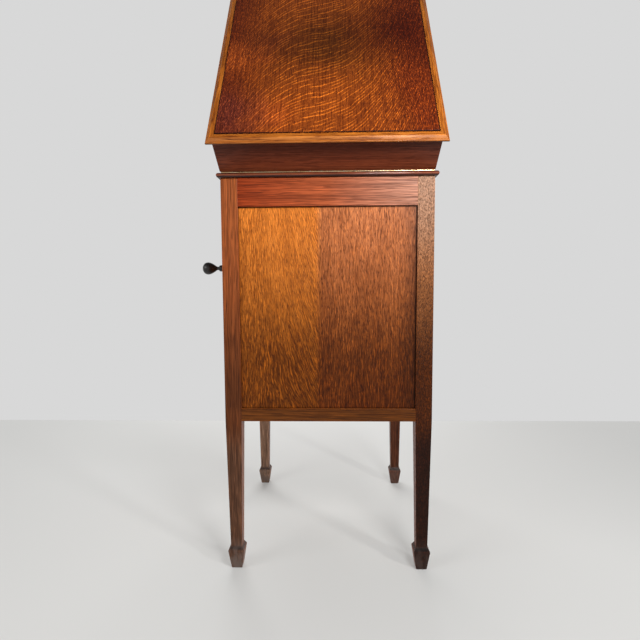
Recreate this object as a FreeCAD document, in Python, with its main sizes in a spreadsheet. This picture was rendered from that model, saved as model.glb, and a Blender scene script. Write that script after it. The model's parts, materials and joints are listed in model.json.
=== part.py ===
import FreeCAD
import Part
import Sketcher
import math
import os

# Floor-standing acoustic gramophone in oak, lid open, millimetres.
# Origin on the floor under the middle of the case, +Z up, the doors face -Y, the crank is on +X.

SIZES = (
    ("case_width", 420, "outside of the posts, left to right"),
    ("case_depth", 456, "outside of the posts, front to back"),
    ("post_side", 33, "square of a post above the bottom rails"),
    ("post_height", 805, "floor to the top of the posts"),
    ("leg_clear", 318, "floor to the underside of the bottom rails"),
    ("ankle_side", 23.4, "square of a leg at its thinnest"),
    ("ankle_height", 50, "floor to the thinnest part of a leg"),
    ("spade_side", 33.8, "square of a spade foot at its widest"),
    ("spade_height", 41, "floor to the widest part of a spade foot"),
    ("foot_side", 22.2, "square of a spade foot at the floor"),
    ("foot_chamfer", 2, "chamfer round the bottom of a foot"),
    ("rail_thick", 22, "thickness of every rail"),
    ("top_rail_height", 55, "height of the top rails"),
    ("bottom_rail_height", 26, "height of the bottom rails"),
    ("apron_height", 140, "height of the front apron"),
    ("tenon_length", 12, "length of the tenons on the rails"),
    ("tenon_thick", 10, "thickness of the tenons"),
    ("tenon_inset", 6, "outer face of a rail to its tenon"),
    ("tenon_shoulder", 4, "shoulder above and below a tenon"),
    ("panel_thick", 9, "thickness of the back and side panels"),
    ("panel_recess", 6, "panel face behind the face of the posts"),
    ("groove_depth", 8, "depth of the panel grooves"),
    ("groove_gap", 1, "room for the panels to swell in the grooves"),
    ("back_seam", 19, "glue line of the back panel from the middle, towards the crank"),
    ("rim_thick", 10, "height of the bead rim on top of the case"),
    ("rim_overhang", 6.8, "bead beyond the face of the case"),
    ("lid_open", 57, "angle of the open lid, in degrees"),
    ("lid_height", 74.5, "height of the lid's side boards"),
    ("lid_board", 13, "thickness of the lid's side boards"),
    ("hinge_gap", 1.4, "closed lid above the rim"),
    ("hinge_setback", 0.5, "hinge axis behind the back of the case"),
    ("hinge_rise", 0.7, "hinge axis above the rim"),
    ("hinge_inset", 2, "end of the long lid hinge from the face of the case"),
    ("hinge_leaf", 0.6, "thickness of the lid hinge leaves"),
    ("hinge_width", 12, "width of the lid hinge leaves"),
    ("hinge_knuckles", 19, "knuckles along the lid hinge"),
    ("knuckle_radius", 1.65, "radius of the lid hinge knuckles"),
    ("knuckle_gap", 0.4, "room between neighbouring knuckles"),
    ("knuckle_room", 0.35, "room round the knuckles in the rim and the lid"),
    ("hinge_pin_radius", 0.8, "radius of the lid hinge pin"),
    ("running_fit", 0.06, "radial room of a running fit"),
    ("moulding_overhang", 10, "lid moulding beyond the lid boards"),
    ("moulding_thick", 11, "height of the lid moulding"),
    ("moulding_inside", 26, "lid moulding inside the face of the lid boards"),
    ("moulding_nose", 6, "height of the round nose of the lid moulding"),
    ("field_margin", 16, "raised field from the outer edge of the moulding"),
    ("field_thick", 8, "thickness of the lid's raised field"),
    ("field_raise", 1.5, "raised field above the moulding"),
    ("field_gap", 0.8, "gap round the raised field"),
    ("stay_radius", 120, "middle radius of the lid stay about the hinge"),
    ("stay_width", 12, "width of the lid stay"),
    ("stay_thick", 3, "thickness of the lid stay"),
    ("stay_inset", 25, "lid stay from the face of the case"),
    ("stay_up", 8, "stay above the hinge level with the lid closed, in degrees"),
    ("stay_down", 64, "stay below the hinge level with the lid closed, in degrees"),
    ("stay_room", 0.4, "room on each side of the lid stay"),
    ("board_drop", 8, "motor board below the top of the posts"),
    ("board_thick", 15, "thickness of the motor board"),
    ("board_gap", 0.5, "motor board to the rails"),
    ("bearer_side", 15, "square of the bearers under the motor board"),
    ("bearer_back", 80, "end of the side bearers behind the middle of the case"),
    ("screw_inset", 30, "end of a bearer to its screw"),
    ("floor_thick", 8, "thickness of the bottom board"),
    ("door_gap", 1.5, "gap round the doors"),
    ("door_thick", 18, "thickness of the doors"),
    ("door_stile", 42, "width of the door stiles and rails"),
    ("door_panel", 8, "thickness of the door panels"),
    ("door_recess", 5, "door panel behind the face of the door"),
    ("door_groove", 7, "depth of the grooves in the door frames"),
    ("door_hinge_height", 50, "height of a door hinge"),
    ("door_hinge_leaf", 0.65, "thickness of a door hinge leaf"),
    ("door_hinge_width", 14, "width of a door hinge leaf"),
    ("door_knuckle", 2.4, "radius of a door hinge knuckle"),
    ("door_hinge_end", 45, "end of a door to its hinge"),
    ("door_knob_length", 24, "length of a door knob"),
    ("door_knob_radius", 10, "radius of a door knob"),
    ("louvre_frame", 14, "width of the strips round the louvres"),
    ("louvre_deep", 18, "depth of the strips round the louvres"),
    ("louvre_count", 5, "number of louvre slats"),
    ("louvre_thick", 6, "thickness of a louvre slat"),
    ("louvre_width", 17, "width of a louvre slat"),
    ("louvre_tilt", 35, "tilt of a louvre slat, in degrees"),
    ("horn_wall", 8, "thickness of the horn boards"),
    ("horn_mouth_inset", 2, "horn mouth inside the louvre frame opening"),
    ("throat_half", 22, "half width of the horn throat"),
    ("throat_height", 520, "floor to the middle of the horn throat"),
    ("throat_reach", 94, "horn throat in front of the tonearm pivot"),
    ("elbow_radius", 20, "bore radius of the iron elbow"),
    ("elbow_wall", 4, "wall of the iron elbow"),
    ("elbow_bend", 80, "bend radius of the iron elbow"),
    ("elbow_flange", 6, "thickness of the elbow flanges"),
    ("elbow_flange_radius", 36, "radius of the elbow's top flange"),
    ("elbow_square", 50, "half width of the elbow's front flange"),
    ("arm_inset", 78, "tonearm pivot in front of the back of the case"),
    ("spindle_front", 41, "turntable centre in front of the middle of the case"),
    ("platter_radius", 127, "radius of the platter"),
    ("platter_rise", 5, "platter rim above the motor board"),
    ("platter_height", 14, "height of the platter"),
    ("platter_wall", 2.5, "thickness of the platter plate"),
    ("cloth_thick", 1.5, "thickness of the platter cloth"),
    ("cloth_gap", 1, "room between the platter cloth and the spindle"),
    ("spindle_radius", 5, "radius of the spindle in the motor"),
    ("spindle_neck", 4, "radius of the spindle in the platter"),
    ("spindle_tip_radius", 3.6, "radius of the spindle above the platter"),
    ("spindle_tip", 12, "spindle above the platter cloth"),
    ("grommet", 6, "thickness of the rubber grommets"),
    ("bed_thick", 5, "thickness of the motor's bed plate"),
    ("plate_gap", 72, "between the two motor plates"),
    ("base_thick", 4, "thickness of the motor's bottom plate"),
    ("pillar_radius", 5, "radius of the motor pillars"),
    ("bolt_radius", 2.5, "radius of the motor bolts"),
    ("bolt_head", 3, "height of the motor bolt heads"),
    ("plate_left", 75, "motor plates left of the spindle"),
    ("plate_right", 130, "motor plates right of the spindle"),
    ("plate_front", 84, "motor plates in front of the spindle"),
    ("plate_back", 71, "motor plates behind the spindle"),
    ("gear_module", 1.5, "module of the spur gears"),
    ("gear_slack", 0.5, "play of the spur gear teeth"),
    ("pinion_teeth", 12, "teeth of the spindle and countershaft pinions"),
    ("counter_teeth", 48, "teeth of the countershaft wheel"),
    ("great_teeth", 60, "teeth of the great wheel on the barrel"),
    ("barrel_right", 75, "spring barrel to the right of the spindle"),
    ("barrel_radius", 42, "outside radius of the spring barrel"),
    ("barrel_wall", 2.5, "wall of the spring barrel"),
    ("barrel_height", 34, "height of the spring barrel"),
    ("barrel_above", 14, "spring barrel above the crank axis"),
    ("arbor_radius", 3, "radius of the journals of the motor arbors"),
    ("hub_radius", 6, "radius of the winding arbor in the barrel"),
    ("spring_thick", 0.8, "thickness of the mainspring strip"),
    ("spring_pitch", 2.4, "pitch of the mainspring coils"),
    ("spring_turns", 10, "turns of the mainspring"),
    ("spring_width", 25, "width of the mainspring strip"),
    ("crank_below", 81, "crank axis below the top of the motor board"),
    ("bevel_module", 1.8, "module of the winding bevels"),
    ("bevel_pinion", 12, "teeth of the bevel pinion on the crank"),
    ("bevel_wheel", 24, "teeth of the bevel wheel on the arbor"),
    ("bevel_face", 7, "face width of the winding bevels"),
    ("bevel_slack", 1.2, "play of the bevel teeth"),
    ("shaft_radius", 4.5, "radius of the crank shaft"),
    ("escutcheon_radius", 17, "radius of the crank escutcheon"),
    ("escutcheon_thick", 4, "thickness of the crank escutcheon"),
    ("escutcheon_sleeve", 9.8, "radius of the escutcheon's sleeve"),
    ("crank_out", 49, "inner face of the crank arm from the case"),
    ("crank_arm_thick", 9, "thickness of the crank arm"),
    ("crank_throw", 78.7, "crank shaft to crank knob"),
    ("crank_eye", 10, "radius of the crank arm's upper eye"),
    ("crank_foot", 7.5, "radius of the crank arm's lower eye"),
    ("crank_pin", 3, "radius of the crank knob's pin"),
    ("knob_room", 0.3, "crank arm to the crank knob"),
    ("knob_collar", 11.7, "length of the collar of the crank knob"),
    ("knob_collar_radius", 8.2, "radius of the collar of the crank knob"),
    ("knob_neck", 4.2, "radius of the neck of the crank knob"),
    ("knob_radius", 15.5, "largest radius of the crank knob"),
    ("knob_length", 42, "crank knob beyond its collar"),
    ("worm_teeth", 36, "teeth of the wheel that drives the governor"),
    ("worm_starts", 3, "threads of the governor worm"),
    ("worm_wheel_radius", 22, "pitch radius of the governor wheel"),
    ("worm_radius", 5, "pitch radius of the governor worm"),
    ("worm_wheel_thick", 6, "thickness of the governor wheel"),
    ("governor_above", 20, "governor axis above the crank axis"),
    ("governor_front", 59, "governor's front bearing in front of the spindle"),
    ("governor_back", 57, "governor's rear bearing behind the spindle"),
    ("governor_shaft", 2.6, "radius of the governor shaft"),
    ("governor_journal", 1.5, "radius of the governor's journals"),
    ("disc_radius", 18, "radius of the governor's friction disc"),
    ("weight_radius", 5.5, "radius of a governor weight"),
    ("weight_reach", 11, "governor axis to the middle of a weight"),
    ("arm_length", 196, "tonearm pivot to the needle point"),
    ("arm_park", 52, "parked tonearm from straight ahead, in degrees"),
    ("needle_rise", 2, "needle point above the platter cloth"),
    ("soundbox_radius", 26, "radius of the soundbox"),
    ("needle_reach", 39, "middle of the soundbox to the needle point"),
    ("needle_slant", 60, "needle below the level, in degrees"),
    ("neck_radius", 20.5, "bend radius of the gooseneck"),
    ("neck_slope", 30, "gooseneck below the level, in degrees"),
    ("neck_tube", 8.5, "outside radius of the gooseneck"),
    ("tube_wall", 1.5, "wall of the tonearm tubes"),
    ("arm_tube_back", 14, "outside radius of the tonearm at its pivot"),
    ("arm_tube_front", 10, "outside radius of the tonearm at its end"),
    ("arm_bend", 36, "bend radius of the tonearm over its pivot"),
    ("arm_elbow", 16, "bend radius of the tonearm's end"),
    ("stem_radius", 17, "radius of the tonearm's stem in its base"),
    ("base_radius", 36, "radius of the tonearm base"),
    ("base_height", 21, "height of the tonearm base"),
    ("rest_reach", 100, "tonearm pivot to the arm rest"),
    ("cup_radius", 20, "radius of a needle cup"),
    ("cup_depth", 12, "depth of a needle cup"),
    ("dial_radius", 20, "radius of the speed dial"),
    ("dial_left", 110, "speed dial left of the turntable centre"),
    ("dial_front", 109, "speed dial in front of the turntable centre"),
    ("eccentric_throw", 2, "throw of the eccentric under the speed dial"),
    ("eccentric_radius", 6, "radius of the eccentric under the speed dial"),
    ("lever_pivot_left", 58, "speed lever's pivot left of the turntable centre"),
    ("lever_pivot_front", 63, "speed lever's pivot in front of the turntable centre"),
    ("brake_angle", 40, "brake pad in front of the turntable's right, in degrees"),
    ("brake_reach", 52, "brake lever's pivot to its pad"),
)

V = FreeCAD.Vector
doc = FreeCAD.newDocument("gramophone")
sheet = doc.addObject("Spreadsheet::Sheet", "Sizes")
nodes = []
case_brass = []
lid_brass = []
hinge_pins = []
deck_screws = []
motor_bearings = []
lever_studs = []


def text_of(value):
    return value.text if isinstance(value, Size) else repr(float(value))


class Size:
    # A size with the expression that ties it to the sheet.
    def __init__(self, text, value):
        self.text = text
        self.value = value

    def __float__(self):
        return self.value

    def __neg__(self):
        return Size(f"(-{self.text})", -self.value)

    def __add__(self, other):
        return Size(f"({self.text} + {text_of(other)})", self.value + float(other))

    def __radd__(self, other):
        return Size(f"({text_of(other)} + {self.text})", float(other) + self.value)

    def __sub__(self, other):
        return Size(f"({self.text} - {text_of(other)})", self.value - float(other))

    def __rsub__(self, other):
        return Size(f"({text_of(other)} - {self.text})", float(other) - self.value)

    def __mul__(self, other):
        return Size(f"({self.text} * {text_of(other)})", self.value * float(other))

    __rmul__ = __mul__

    def __truediv__(self, other):
        return Size(f"({self.text} / {text_of(other)})", self.value / float(other))


class Table:
    pass


s = Table()
for row, (alias, value, note) in enumerate(SIZES, 1):
    sheet.set(f"A{row}", note)
    sheet.set(f"B{row}", str(value))
    sheet.setAlias(f"B{row}", alias)
doc.recompute()
for alias, value, note in SIZES:
    setattr(s, alias, Size(f"Sizes.{alias}", float(sheet.get(alias))))


def cosine(angle):
    return Size(f"cos({angle.text} * 1 deg)", math.cos(math.radians(angle.value)))


def sine(angle):
    return Size(f"sin({angle.text} * 1 deg)", math.sin(math.radians(angle.value)))


def square_root(size):
    return Size(f"sqrt({size.text})", math.sqrt(size.value))


def bind(obj, **sizes):
    for name, size in sizes.items():
        if isinstance(size, Size):
            setattr(obj, name, size.value)
            obj.setExpression(name, size.text)
        else:
            setattr(obj, name, size)
    return obj


def put(obj, x, y, z, axis=V(0, 0, 1), angle=0.0):
    obj.Placement = FreeCAD.Placement(V(float(x), float(y), float(z)), FreeCAD.Rotation(axis, float(angle)))
    for letter, size in zip("xyz", (x, y, z)):
        if isinstance(size, Size):
            obj.setExpression(f"Placement.Base.{letter}", size.text)
    if isinstance(angle, Size):
        obj.setExpression("Placement.Rotation.Angle", angle.text)
    return obj


def block(x, y, z):
    obj = doc.addObject("Part::Box", "Block")
    bind(obj, Length=x[1] - x[0], Width=y[1] - y[0], Height=z[1] - z[0])
    return put(obj, x[0], y[0], z[0])


AXES = {
    "X": (V(0, 1, 0), 90),
    "Y": (V(1, 0, 0), -90),
    "Z": (V(0, 0, 1), 0),
    "-X": (V(0, 1, 0), -90),
    "-Y": (V(1, 0, 0), 90),
    "-Z": (V(1, 0, 0), 180),
}


def rod(x, y, z, axis, radius, length):
    obj = doc.addObject("Part::Cylinder", "Rod")
    bind(obj, Radius=radius, Height=length)
    return put(obj, x, y, z, *AXES[axis])


def join(*parts):
    obj = doc.addObject("Part::MultiFuse", "Joined")
    obj.Shapes = list(parts)
    return obj


def less(base, *tools):
    obj = doc.addObject("Part::Cut", "Cut")
    obj.Base = base
    obj.Tool = tools[0] if len(tools) == 1 else join(*tools)
    return obj


def formed(shape):
    # A drawn shape keeps the place it was drawn in when the whole is placed.
    obj = doc.addObject("Part::Feature", "Formed")
    obj.Shape = Part.makeCompound([shape])
    return obj


def keep(label, *parts):
    obj = parts[0]
    if len(parts) > 1:
        obj = doc.addObject("Part::Compound", "Set")
        obj.Links = list(parts)
    obj.Label = label
    nodes.append(obj)
    return obj


def origin_plane(body, role):
    return next(item for item in body.Origin.OriginFeatures if item.Role == role)


def outline(body, role, points):
    # A closed outline of straight lines, every corner held by two sizes.
    sketch = body.newObject("Sketcher::SketchObject", "Outline")
    sketch.AttachmentSupport = [(origin_plane(body, role), "")]
    sketch.MapMode = "FlatFace"
    corners = [V(float(a), float(b), 0) for a, b in points]
    count = len(corners)
    for k in range(count):
        sketch.addGeometry(Part.LineSegment(corners[k], corners[(k + 1) % count]), False)
    for k in range(count):
        sketch.addConstraint(Sketcher.Constraint("Coincident", k, 2, (k + 1) % count, 1))
    for k, pair in enumerate(points):
        for kind, line, size in (("DistanceX", -2, pair[0]), ("DistanceY", -1, pair[1])):
            if abs(float(size)) < 1e-9:
                sketch.addConstraint(Sketcher.Constraint("PointOnObject", k, 1, line))
                continue
            index = sketch.addConstraint(Sketcher.Constraint(kind, -1, 1, k, 1, float(size)))
            if isinstance(size, Size):
                sketch.setExpression(f"Constraints[{index}]", size.text)
    return sketch


def turned(x, y, z, axis, points):
    # A turned piece: points are (radius, distance along the axis).
    body = doc.addObject("PartDesign::Body", "Turned")
    sketch = outline(body, "XZ_Plane", points)
    feature = body.newObject("PartDesign::Revolution", "Revolution")
    feature.Profile = sketch
    feature.ReferenceAxis = (sketch, ["V_Axis"])
    feature.Angle = 360
    return put(body, x, y, z, *AXES[axis])


def padded(x, y, z, points, height):
    # A flat piece cut to an outline and given a thickness upwards.
    body = doc.addObject("PartDesign::Body", "Flat")
    sketch = outline(body, "XY_Plane", points)
    feature = body.newObject("PartDesign::Pad", "Pad")
    feature.Profile = sketch
    bind(feature, Length=height)
    return put(body, x, y, z)


def swept(path, radius):
    # A round bar along a path of edges.
    start = path[0]
    ring = Part.Circle(start.valueAt(start.FirstParameter), start.tangentAt(start.FirstParameter), radius)
    return Part.Wire(path).makePipeShell([Part.Wire([ring.toShape()])], True, True)


def lathe(points, along):
    # A smooth turned form: points are (radius, distance), the first and last joined by straight lines.
    curve = Part.BSplineCurve()
    curve.interpolate([V(r, 0, h) for r, h in points])
    first = V(points[0][0], 0, points[0][1])
    last = V(points[-1][0], 0, points[-1][1])
    edges = [curve.toShape()]
    corners = [last] + [V(r, 0, h) for r, h in along] + [first]
    for a, b in zip(corners, corners[1:]):
        if a.distanceToPoint(b) > 1e-6:
            edges.append(Part.makeLine(a, b))
    face = Part.Face(Part.Wire(Part.__sortEdges__(edges)))
    return face.revolve(V(0, 0, 0), V(0, 0, 1), 360)


half_wide = s.case_width / 2
half_deep = s.case_depth / 2
low_rail_top = s.leg_clear + s.bottom_rail_height
high_rail_low = s.post_height - s.top_rail_height
apron_low = s.post_height - s.apron_height
rim_top = s.post_height + s.rim_thick
board_top = s.post_height - s.board_drop
board_low = board_top - s.board_thick
arm_y = half_deep - s.arm_inset
throat_y = arm_y - s.throat_reach
panel_back = s.panel_recess + s.panel_thick
span = {
    "back": half_wide - s.post_side,
    "front": half_wide - s.post_side,
    "left": half_deep - s.post_side,
    "right": half_deep - s.post_side,
}


def side_block(side, along, depth, z):
    # A block on one side of the case: along the side, inwards from its face, and upwards.
    if side == "back":
        return block(along, (half_deep - depth[1], half_deep - depth[0]), z)
    if side == "front":
        return block(along, (depth[0] - half_deep, depth[1] - half_deep), z)
    if side == "right":
        return block((half_wide - depth[1], half_wide - depth[0]), along, z)
    return block((depth[0] - half_wide, depth[1] - half_wide), along, z)


def corner_of(side, end):
    return {"back": (end, 1), "front": (end, -1), "right": (1, end), "left": (-1, end)}[side]


def build_case():
    cutters = {(a, b): [] for a in (-1, 1) for b in (-1, 1)}
    tenon_depth = (s.tenon_inset, s.tenon_inset + s.tenon_thick)
    groove = (s.panel_recess, panel_back)

    def rail(side, low, high, tenon_z, groove_z):
        reach = span[side]
        bar = side_block(side, (-reach, reach), (0, s.rail_thick), (low, high))
        ends = [bar]
        for end in (-1, 1):
            along = (reach, reach + s.tenon_length) if end > 0 else (-reach - s.tenon_length, -reach)
            tenon = side_block(side, along, tenon_depth, tenon_z)
            ends.append(tenon)
            cutters[corner_of(side, end)].append(tenon)
        solid = join(*ends)
        if groove_z:
            solid = less(solid, side_block(side, (-reach, reach), groove, groove_z))
        return solid

    low_tenon = (s.leg_clear + s.tenon_shoulder, low_rail_top - s.groove_depth - s.tenon_shoulder)
    high_tenon = (high_rail_low + s.groove_depth + s.tenon_shoulder, s.post_height - s.tenon_shoulder)
    low_groove = (low_rail_top - s.groove_depth, low_rail_top)
    high_groove = (high_rail_low, high_rail_low + s.groove_depth)
    rails = {}
    for side in ("back", "left", "right"):
        low = rail(side, s.leg_clear, low_rail_top, low_tenon, low_groove)
        high = rail(side, high_rail_low, s.post_height, high_tenon, high_groove)
        rails[side] = (high, low)
        for end in (-1, 1):
            reach = span[side]
            along = (reach, reach + s.groove_depth) if end > 0 else (-reach - s.groove_depth, -reach)
            slot = side_block(side, along, groove, (low_groove[0], high_groove[1]))
            cutters[corner_of(side, end)].append(slot)
    apron_tenon = (apron_low + s.tenon_shoulder, s.post_height - s.tenon_shoulder)
    apron = rail("front", apron_low, s.post_height, apron_tenon, None)
    sill = rail("front", s.leg_clear, low_rail_top, low_tenon, None)
    keep("back_rails", *rails["back"])
    keep("side_rails", *rails["left"], *rails["right"])
    keep("front_rails", apron, sill)

    sections = (
        (0 * s.spade_height, s.foot_side - 2 * s.foot_chamfer),
        (s.foot_chamfer, s.foot_side),
        (s.spade_height, s.spade_side),
        (s.ankle_height, s.ankle_side),
        (s.leg_clear, s.post_side),
        (s.post_height, s.post_side),
    )
    for (side_x, side_y), tools in cutters.items():
        body = doc.addObject("PartDesign::Body", "Post")
        rings = []
        for level, side in sections:
            half = side / 2
            ring = outline(body, "XY_Plane", ((-half, -half), (half, -half), (half, half), (-half, half)))
            ring.AttachmentOffset = FreeCAD.Placement(V(0, 0, float(level)), FreeCAD.Rotation())
            ring.setExpression("AttachmentOffset.Base.z", level.text)
            rings.append(ring)
        loft = body.newObject("PartDesign::AdditiveLoft", "Taper")
        loft.Profile = (rings[0], [""])
        loft.Sections = [(ring, [""]) for ring in rings[1:]]
        loft.Ruled = True
        put(body, side_x * (half_wide - s.post_side / 2), side_y * (half_deep - s.post_side / 2), 0.0)
        label = ("front" if side_y < 0 else "back") + ("_left" if side_x < 0 else "_right") + "_post"
        keep(label, less(body, *tools))

    tongue = s.groove_depth - s.groove_gap
    panel_z = (low_rail_top - tongue, high_rail_low + tongue)
    reach = span["back"] + tongue
    keep(
        "back_panel",
        side_block("back", (-reach, s.back_seam), groove, panel_z),
        side_block("back", (s.back_seam, reach), groove, panel_z),
    )
    reach = span["left"] + tongue
    plain = side_block("right", (-reach, reach), groove, panel_z)
    hole = rod(half_wide - panel_back - 1, -s.spindle_front, board_top - s.crank_below, "X",
               s.escutcheon_sleeve + s.running_fit, s.panel_thick + 2)
    keep("side_panels", side_block("left", (-reach, reach), groove, panel_z), less(plain, hole))


def drawn(points, lift):
    # A face from (u, v) points, a pair of points standing for an arc through the first to the second.
    edges = []
    here = lift(*points[0])
    for item in list(points[1:]) + [points[0]]:
        if isinstance(item[0], tuple):
            there = lift(*item[1])
            edges.append(Part.Arc(here, lift(*item[0]), there).toShape())
        else:
            there = lift(*item)
            edges.append(Part.makeLine(here, there))
        here = there
    return Part.Face(Part.Wire(edges))


def mitred(points, half_x, half_y, low):
    # Four lengths of one moulding, mitred at the corners of a rectangle.
    flat = [item[1] if isinstance(item[0], tuple) else item for item in points]
    flat += [item[0] for item in points if isinstance(item[0], tuple)]
    out = max(u for u, v in flat) + 1.0
    inn = min(u for u, v in flat) - 1.0
    top = max(v for u, v in flat) + 1.0
    lengths = []
    sides = ((half_x, half_y, 0), (half_x, half_y, 180), (half_y, half_x, 90), (half_y, half_x, -90))
    for wide, deep, turn in sides:
        face = drawn(points, lambda u, v: V(-wide - out, deep + u, low + v))
        bar = face.extrude(V(2 * (wide + out), 0, 0))
        plan = [V(-wide - out, deep + out, low - 1), V(wide + out, deep + out, low - 1)]
        plan += [V(wide + inn, deep + inn, low - 1), V(-wide - inn, deep + inn, low - 1)]
        clip = Part.Face(Part.makePolygon(plan + [plan[0]])).extrude(V(0, 0, top + 2))
        length = bar.common(clip).Solids[0]
        length.rotate(V(0, 0, 0), V(0, 0, 1), turn)
        lengths.append(length)
    return Part.makeCompound(lengths)


def build_rim():
    half = float(s.rim_thick) / 2
    middle = float(s.rim_overhang) - half
    inner = -float(s.rail_thick)
    profile = [(inner, 0), (middle, 0), ((middle + half, half), (middle, 2 * half)), (inner, 2 * half)]
    rim = mitred(profile, float(half_wide), float(half_deep), float(s.post_height))
    keep("top_rim", formed(rim.cut(knuckle_groove())))


axis_y = half_deep + s.hinge_setback
axis_z = rim_top + s.hinge_rise
lid_low = s.hinge_gap - s.hinge_rise


def knuckle_groove():
    # The hinge knuckles lie in a round groove along the rim and the back board of the lid.
    radius = float(s.knuckle_radius + s.knuckle_room)
    reach = float(half_wide + s.rim_overhang)
    return Part.makeCylinder(radius, 2 * reach, V(-reach, float(axis_y), float(axis_z)), V(1, 0, 0))


def hang(obj):
    # Lid pieces are drawn about the hinge axis with the lid closed, then swung open.
    return put(obj, 0.0, axis_y, axis_z, V(1, 0, 0), -s.lid_open)


def lid_shape(shape):
    shape.translate(V(0, -float(axis_y), -float(axis_z)))
    return hang(formed(shape))


def build_lid():
    wide = float(half_wide)
    deep = float(half_deep)
    low = float(axis_z + lid_low)
    high = low + float(s.lid_height)
    thin = float(s.lid_board)
    tall = float(s.lid_height)
    board = [(-thin, 0), (0, 0), (0, tall), (-thin, tall)]
    keep("lid_boards", lid_shape(mitred(board, wide, deep, low).cut(knuckle_groove())))

    over = float(s.moulding_overhang)
    nose = float(s.moulding_nose)
    thick = float(s.moulding_thick)
    step = over - float(s.field_margin)
    rebate = thick + float(s.field_raise) - float(s.field_thick)
    inner = -float(s.moulding_inside)
    profile = [
        (inner, 0),
        (over - nose / 2, 0),
        ((over, nose / 2), (over - nose / 2, nose)),
        (over - nose * 0.6, nose + 0.8),
        (over - nose * 1.2, thick - 0.6),
        (over - nose * 1.4, thick),
        (step, thick),
        (step, rebate),
        (inner, rebate),
    ]
    keep("lid_moulding", lid_shape(mitred(profile, wide, deep, high)))

    margin = s.field_margin + s.field_gap - s.moulding_overhang
    reach_x = half_wide - margin
    reach_y = half_deep - margin
    field_low = lid_low + s.lid_height + s.moulding_thick + s.field_raise - s.field_thick
    plan = ((-reach_x, -reach_y), (reach_x, -reach_y), (reach_x, reach_y), (-reach_x, reach_y))
    field = padded(0.0, -axis_y, field_low, plan, s.field_thick)
    keep("lid_field", hung(field))


def hung(obj):
    swung = doc.addObject("Part::Compound", "Hung")
    swung.Links = [obj]
    return hang(swung)


def build_lid_hinge():
    half = half_wide - s.hinge_inset
    length = 2 * half
    pitch = length / s.hinge_knuckles
    bore = s.hinge_pin_radius + s.running_fit
    clear = s.knuckle_radius + s.knuckle_room

    def leaf(turn, y, z, leaf_z):
        plate = block((-half, half), (y - clear - s.hinge_width, y - clear), leaf_z)
        parts = [plate]
        for k in range(turn, int(s.hinge_knuckles.value), 2):
            start = k * pitch + s.knuckle_gap / 2 - half
            end = (k + 1) * pitch - s.knuckle_gap / 2 - half
            parts.append(block((start, end), (y - clear, y), leaf_z))
            parts.append(rod(start, y, z, "X", s.knuckle_radius, end - start))
        return less(join(*parts), rod(-half - 1, y, z, "X", bore, length + 2))

    case_brass.append(leaf(0, axis_y, axis_z, (rim_top, rim_top + s.hinge_leaf)))
    nil = 0 * s.hinge_leaf
    lid_brass.append(hang(leaf(1, nil, nil, (lid_low - s.hinge_leaf, lid_low))))
    hinge_pins.append(rod(-half, axis_y, axis_z, "X", s.hinge_pin_radius, length))


stay_x = s.stay_inset - half_wide
stay_front = axis_y - s.stay_radius - s.stay_width / 2
stay_back = axis_y - s.stay_radius + s.stay_width / 2


def build_lid_stay():
    outer = float(s.stay_radius + s.stay_width / 2)
    inner = float(s.stay_radius - s.stay_width / 2)
    up = float(s.stay_up)
    down = -float(s.stay_down)

    def polar(radius, angle):
        return (-radius * math.cos(math.radians(angle)), radius * math.sin(math.radians(angle)))

    middle = (up + down) / 2
    points = [
        polar(outer, up),
        (polar(outer, middle), polar(outer, down)),
        polar(inner, down),
        (polar(inner, middle), polar(inner, up)),
    ]
    bar = drawn(points, lambda u, v: V(float(stay_x), u, v)).extrude(V(float(s.stay_thick), 0, 0))
    at_y, at_z = polar(float(s.stay_radius), up / 2)
    wall = float(s.lid_board - half_wide)
    lug_radius = float(s.stay_width) * 0.45
    lug = Part.makeCylinder(lug_radius, float(stay_x) - wall, V(wall, at_y, at_z), V(1, 0, 0))
    lid_brass.append(hang(formed(bar.fuse(lug).removeSplitter())))

    room = s.stay_room
    foot_z = (board_top, board_top + 2)
    cheek_z = (board_top + 2, rim_top - 3)
    slot = (stay_x - room, stay_x + s.stay_thick + room)
    far = slot[1] + 18
    y = (stay_front - 4, stay_back + 4)
    foot = block((slot[1], far), y, foot_z)
    cheek = block((slot[1], slot[1] + 3), y, cheek_z)
    screw_y = (stay_front + stay_back) / 2
    screw_z = (cheek_z[0] + cheek_z[1]) / 2
    shank = rod(slot[1] + 3, screw_y, screw_z, "X", 2.0, 8.0)
    head = rod(slot[1] + 8, screw_y, screw_z, "X", 5.0, 4.0)
    case_brass.append(join(foot, cheek, shank, head))


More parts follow.
